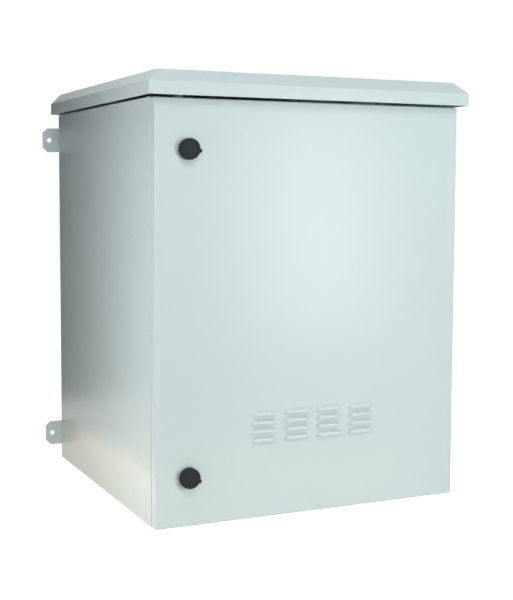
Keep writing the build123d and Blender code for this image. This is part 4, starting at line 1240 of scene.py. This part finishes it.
@dataclass
class CableGrommets:
    """Four rubber grommets in the cable plate, with stepped membranes that are cut to the cable."""

    flange: float = 23.5 * MM
    neck: float = 19 * MM
    hole: float = 21 * MM
    tip: float = 9.5 * MM
    steps: int = 64
    rings: int = 3

    def build(self, finish: bpy.types.Material) -> bpy.types.Object:
        """Make the grommets in place of their CAD node.

        Args:
            finish: The rubber.

        Returns:
            The four grommets as one piece.
        """
        plate_low, plate_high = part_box("cable_entry_plate")
        shell = bmesh.new()
        for low, high in solid_boxes("cable_grommets"):
            place = Matrix.Translation(((low.x + high.x) / 2, (low.y + high.y) / 2, 0.0))
            bottom, seat, top = low.z, plate_high.z, high.z
            outline = [(0.0, bottom + 1.2 * MM), (self.tip - 1.5 * MM, bottom + 1.2 * MM), (self.neck, bottom)]
            outline += [(self.hole - 0.05 * MM, bottom + 0.4 * MM), (self.hole - 0.05 * MM, seat + 0.02 * MM)]
            outline += [(self.flange - 0.4 * MM, seat + 0.02 * MM), (self.flange, seat + 0.5 * MM)]
            outline += [(self.flange - 0.3 * MM, seat + 1.3 * MM), (self.flange - 1.0 * MM, seat + 1.6 * MM)]
            fall = (self.flange - 2.5 * MM - self.tip) / self.rings
            rise = (top - seat - 2.4 * MM) / self.rings
            for i in range(self.rings):
                radius, height = self.flange - 2.5 * MM - fall * i, seat + 1.8 * MM + rise * i
                outline += [(radius, height), (radius - 0.5 * MM, height + rise * 0.75)]
                outline += [(radius - fall * 0.4, height + rise)]
            outline += [(self.tip, top - 0.25 * MM), (self.tip - 0.8 * MM, top), (0.0, top)]
            revolve(shell, outline, place, self.steps)
        rubber = close_shell(shell, "membrane_grommets")
        soften(rubber, 30.0)
        hand_over(rubber, finish, Slot.SEAL_RUBBER, Body.CABINET, "cable_grommets")
        return rubber


class FastenerKind(Enum):
    """The two shapes of hexagon fastener."""

    NUT = "nut"
    BOLT = "bolt"


@dataclass(frozen=True)
class FastenerSet:
    """Like fasteners on one body: the CAD node they stand for and the way they face.

    The way is a direction away from the sheet they sit on; an x of 0.5 means away from the middle
    of the cabinet, and of -0.5 towards it.
    """

    node: str
    body: Body
    kind: FastenerKind
    flats: float
    height: float
    bore: float
    way: tuple[float, float, float]

    def seats(self) -> list[tuple[Vector, Vector, float]]:
        """Find where each fastener sits.

        Returns:
            For each one its middle on the sheet, the way it faces and how far its shank reaches back.
        """
        found = []
        for low, high in solid_boxes(self.node):
            middle, half = (low + high) / 2, (high - low) / 2
            axis = Vector(self.way)
            if abs(axis.x) == 0.5:
                axis = Vector((math.copysign(1.0, middle.x * axis.x), 0.0, 0.0))
            reach = abs(half.dot(axis))
            head_end = middle + axis * reach
            found.append((head_end - axis * self.height, axis, 2 * reach - self.height))
        return found


@dataclass
class HexFasteners:
    """Hexagon nuts and bolts with turned chamfers, instanced on their seats by one tree."""

    steps: int = 48
    chamfer_slope: float = 0.45
    countersink: float = 0.35 * MM

    def tree(self, kind: FastenerKind) -> bpy.types.NodeTree:
        """The tree that turns a strip of grid into a fastener and sets it on every seat.

        Args:
            kind: Nut or bolt.

        Returns:
            The geometry tree.
        """
        made = GeometryTree(
            f"hex_{kind.value}s",
            {
                "Flats": "NodeSocketFloat",
                "Height": "NodeSocketFloat",
                "Bore": "NodeSocketFloat",
                "Shank": "NodeSocketFloat",
                "Quarter": "NodeSocketFloat",
                "Material": "NodeSocketMaterial",
            },
        )
        given = made.inputs
        place = made.add("ShaderNodeSeparateXYZ", {0: made.add("GeometryNodeInputPosition").outputs["Position"]})
        turn = made.math("MULTIPLY", made.math("ADD", place.outputs["X"], 0.5), 2 * math.pi)
        sector = made.math("SUBTRACT", made.math("MODULO", turn, math.pi / 3), math.pi / 6)
        half = made.math("MULTIPLY", given["Flats"], 0.5)
        corner = made.math("DIVIDE", half, made.math("COSINE", sector))
        waist = made.math("MULTIPLY", half, 0.98)
        fall = made.math("MULTIPLY", made.math("SUBTRACT", corner, waist), self.chamfer_slope)
        low_edge, high_edge = fall, made.math("SUBTRACT", given["Height"], fall)
        bore, top = given["Bore"], given["Height"]
        if kind is FastenerKind.NUT:
            sunk = made.math("ADD", bore, self.countersink)
            inner_top = made.math("SUBTRACT", top, self.countersink)
            rows = [
                (bore, self.countersink),
                (sunk, 0.0),
                (waist, 0.0),
                (corner, low_edge),
                (corner, high_edge),
                (waist, top),
                (sunk, top),
                (bore, inner_top),
                (bore, self.countersink),
            ]
        else:
            end = made.math("MULTIPLY", given["Shank"], -1.0)
            turned = made.math("SUBTRACT", bore, self.countersink)
            rows = [
                (0.0, end),
                (turned, end),
                (bore, made.math("ADD", end, self.countersink)),
                (bore, 0.0),
                (waist, 0.0),
                (corner, 0.02 * MM),
                (corner, high_edge),
                (waist, top),
                (0.0, top),
            ]
        strip = made.add(
            "GeometryNodeMeshGrid",
            {"Size X": 1.0, "Size Y": 1.0, "Vertices X": self.steps + 1, "Vertices Y": len(rows)},
        )
        row = made.math("ROUND", made.math("MULTIPLY_ADD", place.outputs["Y"], len(rows) - 1.0, (len(rows) - 1) / 2))
        radius, height = (self.pick_row(made, row, [entry[part] for entry in rows]) for part in (0, 1))
        laid = made.math("ADD", turn, given["Quarter"])
        spot = made.add(
            "ShaderNodeCombineXYZ",
            {
                "X": made.math("MULTIPLY", radius, made.math("COSINE", laid)),
                "Y": made.math("MULTIPLY", radius, made.math("SINE", laid)),
                "Z": height,
            },
        )
        turned_strip = made.add(
            "GeometryNodeSetPosition", {"Geometry": strip.outputs["Mesh"], "Position": spot.outputs["Vector"]}
        )
        merged = made.add(
            "GeometryNodeMergeByDistance", {"Geometry": turned_strip.outputs["Geometry"], "Distance": 0.001 * MM}
        )
        way = made.add("GeometryNodeInputNamedAttribute", {"Name": "way"}, data_type="FLOAT_VECTOR")
        facing = made.add("FunctionNodeAlignRotationToVector", {"Vector": way.outputs["Attribute"]}, axis="Z")
        seats = made.add("GeometryNodeMeshToPoints", {"Mesh": given["Geometry"]})
        placed = made.add(
            "GeometryNodeInstanceOnPoints",
            {
                "Points": seats.outputs["Points"],
                "Instance": merged.outputs["Geometry"],
                "Rotation": facing.outputs["Rotation"],
            },
        )
        return made.finish(placed.outputs["Instances"], given["Material"])

    def pick_row(self, made: GeometryTree, row: bpy.types.NodeSocket, values: list) -> bpy.types.NodeSocket:
        """Add a switch that gives each row of the strip its own value.

        Args:
            made: The tree under construction.
            row: The row's number.
            values: One value or socket for each row.

        Returns:
            The picked value.
        """
        switch = made.add("GeometryNodeIndexSwitch", data_type="FLOAT")
        while len(switch.index_switch_items) < len(values):
            switch.index_switch_items.new()
        made.tree.links.new(row, switch.inputs["Index"])
        for number, value in enumerate(values):
            socket = switch.inputs[number + 1]
            if isinstance(value, bpy.types.NodeSocket):
                made.tree.links.new(value, socket)
            else:
                socket.default_value = value
        return switch.outputs["Output"]

    def build(self, sets: list[FastenerSet], finish: bpy.types.Material) -> None:
        """Make every set in place of its CAD node.

        Args:
            sets: The sets of like fasteners.
            finish: Their zinc plating.
        """
        trees = {kind: self.tree(kind) for kind in FastenerKind}
        for entry in sets:
            seats = entry.seats()
            mesh = bpy.data.meshes.new(f"plated_{entry.node}")
            mesh.from_pydata([spot for spot, _, _ in seats], [], [])
            ways = mesh.attributes.new("way", "FLOAT_VECTOR", "POINT")
            for number, (_, axis, _) in enumerate(seats):
                ways.data[number].vector = axis
            piece = new_object(f"plated_{entry.node}", mesh)
            sizes = {"Flats": entry.flats, "Height": entry.height, "Bore": entry.bore}
            sizes["Quarter"] = math.pi / 2 if seats[0][1].x else 0.0
            run_tree(piece, trees[entry.kind], {**sizes, "Shank": seats[0][2], "Material": finish})
            shell = bmesh.new()
            shell.from_mesh(piece.data)
            bmesh.ops.recalc_face_normals(shell, faces=shell.faces)
            shell.to_mesh(piece.data)
            shell.free()
            soften(piece, 25.0)
            hand_over(piece, finish, Slot.ZINC_STEEL, entry.body, entry.node)


@dataclass
class ThreadedRods:
    """The four studs that carry the canopy, with a rolled thread cut by a rule."""

    radius: float = 3.98 * MM
    pitch: float = 1.25 * MM
    depth: float = 0.45 * MM
    around: int = 20
    rings_each: int = 4

    def tree(self) -> bpy.types.NodeTree:
        """The tree that winds the thread round a plain rod and sets one on every point.

        Returns:
            The geometry tree.
        """
        made = GeometryTree(
            "threaded_rods",
            {
                "Radius": "NodeSocketFloat",
                "Pitch": "NodeSocketFloat",
                "Depth": "NodeSocketFloat",
                "Length": "NodeSocketFloat",
                "Rings": "NodeSocketInt",
                "Material": "NodeSocketMaterial",
            },
        )
        given = made.inputs
        rod = made.add(
            "GeometryNodeMeshCylinder",
            {"Vertices": self.around, "Side Segments": given["Rings"], "Radius": given["Radius"], "Depth": given["Length"]},
        )
        place = made.add("ShaderNodeSeparateXYZ", {0: made.add("GeometryNodeInputPosition").outputs["Position"]})
        x, y, z = (place.outputs[name] for name in "XYZ")
        turn = made.math("DIVIDE", made.math("ARCTAN2", y, x), 2 * math.pi)
        wound = made.math("ADD", made.math("DIVIDE", z, given["Pitch"]), turn)
        groove = made.math("PINGPONG", wound, 0.5)
        cut = made.math("MULTIPLY", made.math("MULTIPLY", groove, 2.0), given["Depth"])
        share = made.math("SUBTRACT", 1.0, made.math("DIVIDE", cut, given["Radius"]))
        spot = made.add(
            "ShaderNodeCombineXYZ", {"X": made.math("MULTIPLY", x, share), "Y": made.math("MULTIPLY", y, share), "Z": z}
        )
        threaded = made.add("GeometryNodeSetPosition", {"Geometry": rod.outputs["Mesh"], "Position": spot.outputs["Vector"]})
        points = made.add("GeometryNodeMeshToPoints", {"Mesh": given["Geometry"]})
        placed = made.add(
            "GeometryNodeInstanceOnPoints", {"Points": points.outputs["Points"], "Instance": threaded.outputs["Geometry"]}
        )
        return made.finish(placed.outputs["Instances"], given["Material"])

    def build(self, finish: bpy.types.Material) -> None:
        """Make the rods in place of their CAD node.

        Args:
            finish: Their zinc plating.
        """
        boxes = solid_boxes("roof_studs")
        mesh = bpy.data.meshes.new("threaded_roof_studs")
        mesh.from_pydata([(low + high) / 2 for low, high in boxes], [], [])
        piece = new_object("threaded_roof_studs", mesh)
        length = boxes[0][1].z - boxes[0][0].z
        rings = round(length / self.pitch * self.rings_each)
        sizes = {"Radius": self.radius, "Pitch": self.pitch, "Depth": self.depth, "Length": length, "Rings": rings}
        run_tree(piece, self.tree(), {**sizes, "Material": finish})
        soften(piece, 70.0)
        hand_over(piece, finish, Slot.ZINC_STEEL, Body.CABINET, "roof_studs")


CABINET_SETS = [
    FastenerSet("roof_nuts", Body.CABINET, FastenerKind.NUT, 13 * MM, 6.5 * MM, 4.03 * MM, (0, 0, -1)),
    FastenerSet("ear_bolts", Body.CABINET, FastenerKind.BOLT, 10 * MM, 4 * MM, 3 * MM, (0, -1, 0)),
    FastenerSet("rail_bolts", Body.CABINET, FastenerKind.BOLT, 10 * MM, 4 * MM, 3 * MM, (-0.5, 0, 0)),
    FastenerSet("rail_nuts", Body.CABINET, FastenerKind.NUT, 10 * MM, 5 * MM, 3.03 * MM, (0.5, 0, 0)),
    FastenerSet("depth_rail_nuts", Body.CABINET, FastenerKind.NUT, 10 * MM, 5 * MM, 3.03 * MM, (-0.5, 0, 0)),
    FastenerSet("cable_plate_nuts", Body.CABINET, FastenerKind.NUT, 8 * MM, 4 * MM, 2.53 * MM, (0, 0, 1)),
]
DOOR_SETS = [
    FastenerSet("filter_nuts", Body.DOOR, FastenerKind.NUT, 8 * MM, 4 * MM, 2.53 * MM, (0, 1, 0)),
    FastenerSet("upper_lock_nut", Body.DOOR, FastenerKind.NUT, 27 * MM, 5 * MM, 11.05 * MM, (0, 1, 0)),
    FastenerSet("lower_lock_nut", Body.DOOR, FastenerKind.NUT, 27 * MM, 5 * MM, 11.05 * MM, (0, 1, 0)),
]


COOL = (0.93, 0.98, 1.0)
NEUTRAL = (1.0, 1.0, 1.0)
WARM = (1.0, 0.72, 0.5)


@dataclass(frozen=True)
class Softbox:
    """A rectangular lamp: where it hangs, what it faces, its face in metres and its watts."""

    name: str
    place: tuple[float, float, float]
    target: tuple[float, float, float]
    size: tuple[float, float]
    power: float
    tint: tuple[float, float, float] = NEUTRAL


# four lamps in front and above, one low on the left, and two strips for the floor's warm bounce
LAMPS = (
    Softbox("front_softbox", (1.12, -2.4, 0.44), (0.0, -0.3, 0.36), (0.3, 0.86), 23.0, COOL),
    Softbox("wide_softbox", (0.3, -2.6, 1.2), (0.0, -0.3, 0.4), (1.3, 0.9), 11.5),
    Softbox("high_softbox", (-0.3, -1.9, 2.2), (-0.1, -0.3, 0.5), (1.2, 0.8), 16.0),
    Softbox("top_softbox", (-0.5, -0.5, 2.4), (-0.2, 0.0, 0.75), (1.2, 1.2), 8.5),
    Softbox("left_softbox", (-0.8, -0.34, 0.46), (-0.3, -0.3, 0.46), (0.2, 0.86), 2.6),
    Softbox("left_bounce", (-0.39, 0.05, 0.015), (-0.3, 0.05, 0.03), (0.75, 0.02), 0.12, WARM),
    Softbox("front_bounce", (0.0, -0.5, 0.02), (0.0, -0.3, 0.05), (0.7, 0.03), 0.1, WARM),
)


@dataclass
class Studio:
    """A pale floor, a white background, soft lamps, a flag for reflections and the camera."""

    floor_size: float = 14.0
    floor_colour: str = "#E6E4DE"
    floor_glow: float = 0.85
    shadow_reach: float = 0.9
    camera_place: tuple[float, float, float] = (-0.9517, -2.0885, 0.5822)
    camera_yaw: float = 0.4286
    camera_pitch: float = -0.0790
    camera_roll: float = 0.0030
    lens: float = 68.55
    principal_x: float = 247.04
    principal_y: float = 278.94
    fill_strength: float = 0.05

    def build(self) -> None:
        """Make the floor, the world, the lamps and the camera."""
        self.add_floor()
        self.add_flag()
        self.add_world()
        for lamp in LAMPS:
            self.add_softbox(lamp)
        self.add_camera()

    def add_floor(self) -> None:
        """Lay a wide pale floor that looks white to the camera except in the object's shadow."""
        half = self.floor_size / 2
        mesh = bpy.data.meshes.new("studio_floor")
        corners = [(-half, -half, 0), (half, -half, 0), (half, half, 0), (-half, half, 0)]
        mesh.from_pydata(corners, [], [(0, 1, 2, 3)])
        floor = bpy.data.objects.new("studio_floor", mesh)
        bpy.context.scene.collection.objects.link(floor)
        material, tree, shader = new_material("pale_floor")
        shader.inputs["Base Color"].default_value = srgb(self.floor_colour)
        shader.inputs["Roughness"].default_value = 0.9
        shader.inputs["Specular IOR Level"].default_value = 0.1
        seen = self.white_rays(tree)
        place = add_node(tree, "ShaderNodeTexCoord").outputs["Object"]
        distance = add_node(tree, "ShaderNodeVectorMath", {0: place}, operation="LENGTH")
        glow = add_node(
            tree,
            "ShaderNodeMapRange",
            {
                "Value": distance.outputs["Value"],
                "From Min": 0.45,
                "From Max": 0.45 + self.shadow_reach,
                "To Min": self.floor_glow,
                "To Max": 1.0,
            },
            interpolation_type="SMOOTHSTEP",
        )
        shown = add_node(tree, "ShaderNodeMath", {0: glow.outputs["Result"], 1: seen}, operation="MULTIPLY")
        shader.inputs["Emission Color"].default_value = srgb("#FFFFFF")
        tree.links.new(shown.outputs["Value"], shader.inputs["Emission Strength"])
        mesh.materials.append(material)

    def add_flag(self) -> None:
        """Stand a dark flag behind on the left, which only the side wall's sheen sees."""
        left, right, back, top = -0.72, -0.28, 0.95, 1.3
        mesh = bpy.data.meshes.new("studio_flag")
        corners = [(left, back, 0), (right, back, 0), (right, back, top), (left, back, top)]
        mesh.from_pydata(corners, [], [(0, 1, 2, 3)])
        flag = new_object("studio_flag", mesh)
        material, _, shader = new_material("flag_cloth")
        shader.inputs["Base Color"].default_value = srgb("#2C2D2E")
        shader.inputs["Roughness"].default_value = 0.9
        shader.inputs["Specular IOR Level"].default_value = 0.1
        mesh.materials.append(material)
        flag.visible_camera = False
        flag.visible_diffuse = False
        flag.visible_shadow = False

    def white_rays(self, tree: bpy.types.NodeTree) -> bpy.types.NodeSocket:
        """Add the switch that is 1 for the rays that see the background white.

        Args:
            tree: The node tree that gets the switch.

        Returns:
            The socket that is 1 for camera, glossy and transmission rays.
        """
        path = add_node(tree, "ShaderNodeLightPath").outputs
        through = add_node(
            tree, "ShaderNodeMath", {0: path["Is Glossy Ray"], 1: path["Is Transmission Ray"]}, operation="MAXIMUM"
        )
        seen = add_node(
            tree, "ShaderNodeMath", {0: path["Is Camera Ray"], 1: through.outputs["Value"]}, operation="MAXIMUM"
        )
        return seen.outputs["Value"]

    def add_world(self) -> None:
        """A white background for the camera and for gloss, and a dim even fill for the rest."""
        world = bpy.data.worlds.new("studio")
        bpy.context.scene.world = world
        world.use_nodes = True
        tree = world.node_tree
        tree.nodes.clear()
        seen = self.white_rays(tree)
        fill = add_node(tree, "ShaderNodeBackground", {"Color": srgb("#FFFFFF"), "Strength": self.fill_strength})
        white = add_node(tree, "ShaderNodeBackground", {"Color": srgb("#FFFFFF"), "Strength": 1.0})
        mix = add_node(
            tree,
            "ShaderNodeMixShader",
            {0: seen, 1: fill.outputs["Background"], 2: white.outputs["Background"]},
        )
        add_node(tree, "ShaderNodeOutputWorld", {"Surface": mix.outputs["Shader"]})

    def add_softbox(self, lamp: Softbox) -> None:
        """Hang one rectangular soft light.

        Args:
            lamp: Its place, aim, size, power and tint.
        """
        data = bpy.data.lights.new(lamp.name, "AREA")
        data.shape = "RECTANGLE"
        data.size, data.size_y = lamp.size
        data.energy = lamp.power
        data.color = lamp.tint
        light = bpy.data.objects.new(lamp.name, data)
        bpy.context.scene.collection.objects.link(light)
        light.location = lamp.place
        aim = Vector(lamp.target) - Vector(lamp.place)
        light.rotation_euler = aim.to_track_quat("-Z", "Y").to_euler()
        light.visible_camera = False

    def add_camera(self) -> None:
        """Place the camera at the photograph's viewpoint, with its shift in image heights."""
        yaw, pitch, roll = self.camera_yaw, self.camera_pitch, self.camera_roll
        forward = Vector((math.sin(yaw) * math.cos(pitch), math.cos(yaw) * math.cos(pitch), math.sin(pitch)))
        level = Vector((math.cos(yaw), -math.sin(yaw), 0.0))
        upright = level.cross(forward)
        right = level * math.cos(roll) + upright * math.sin(roll)
        up = upright * math.cos(roll) - level * math.sin(roll)
        data = bpy.data.cameras.new("camera")
        data.sensor_width = 36.0
        data.lens = self.lens
        data.shift_x = (IMAGE_WIDTH / 2 - self.principal_x) / IMAGE_HEIGHT
        data.shift_y = (self.principal_y - IMAGE_HEIGHT / 2) / IMAGE_HEIGHT
        camera = bpy.data.objects.new("camera", data)
        bpy.context.scene.collection.objects.link(camera)
        turn = Matrix((right, up, -forward)).transposed().to_4x4()
        camera.matrix_world = Matrix.Translation(self.camera_place) @ turn
        bpy.context.scene.camera = camera


def main() -> None:
    """Build the studio and dress the cabinet."""
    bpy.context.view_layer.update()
    bpy.context.scene.view_settings.view_transform = "Standard"
    Studio().build()
    LOG.info("studio and camera are in place")
    palette = Palette()
    palette.dress_frame()
    LOG.info("%d frame nodes have their finish", len(frame["nodes"]))
    skin = DoorSkin(LouvreField()).build(palette.materials[Slot.POWDER_COAT])
    LOG.info("door skin: %d faces", len(skin.data.polygons))
    black = palette.materials[Slot.BLACK_PLASTIC]
    DustCap("upper", 7.0, Body.UPPER_CAP).build(black)
    DustCap("lower", 22.0, Body.LOWER_CAP).build(black)
    DoorGasket().build(palette.materials[Slot.SEAL_FOAM])
    FilterFleeceMat().build(palette.materials[Slot.FILTER_FLEECE])
    CableGrommets().build(palette.materials[Slot.SEAL_RUBBER])
    zinc = palette.materials[Slot.ZINC_STEEL]
    HexFasteners().build(CABINET_SETS + DOOR_SETS, zinc)
    ThreadedRods().build(zinc)


if __name__ == "__main__":
    main()
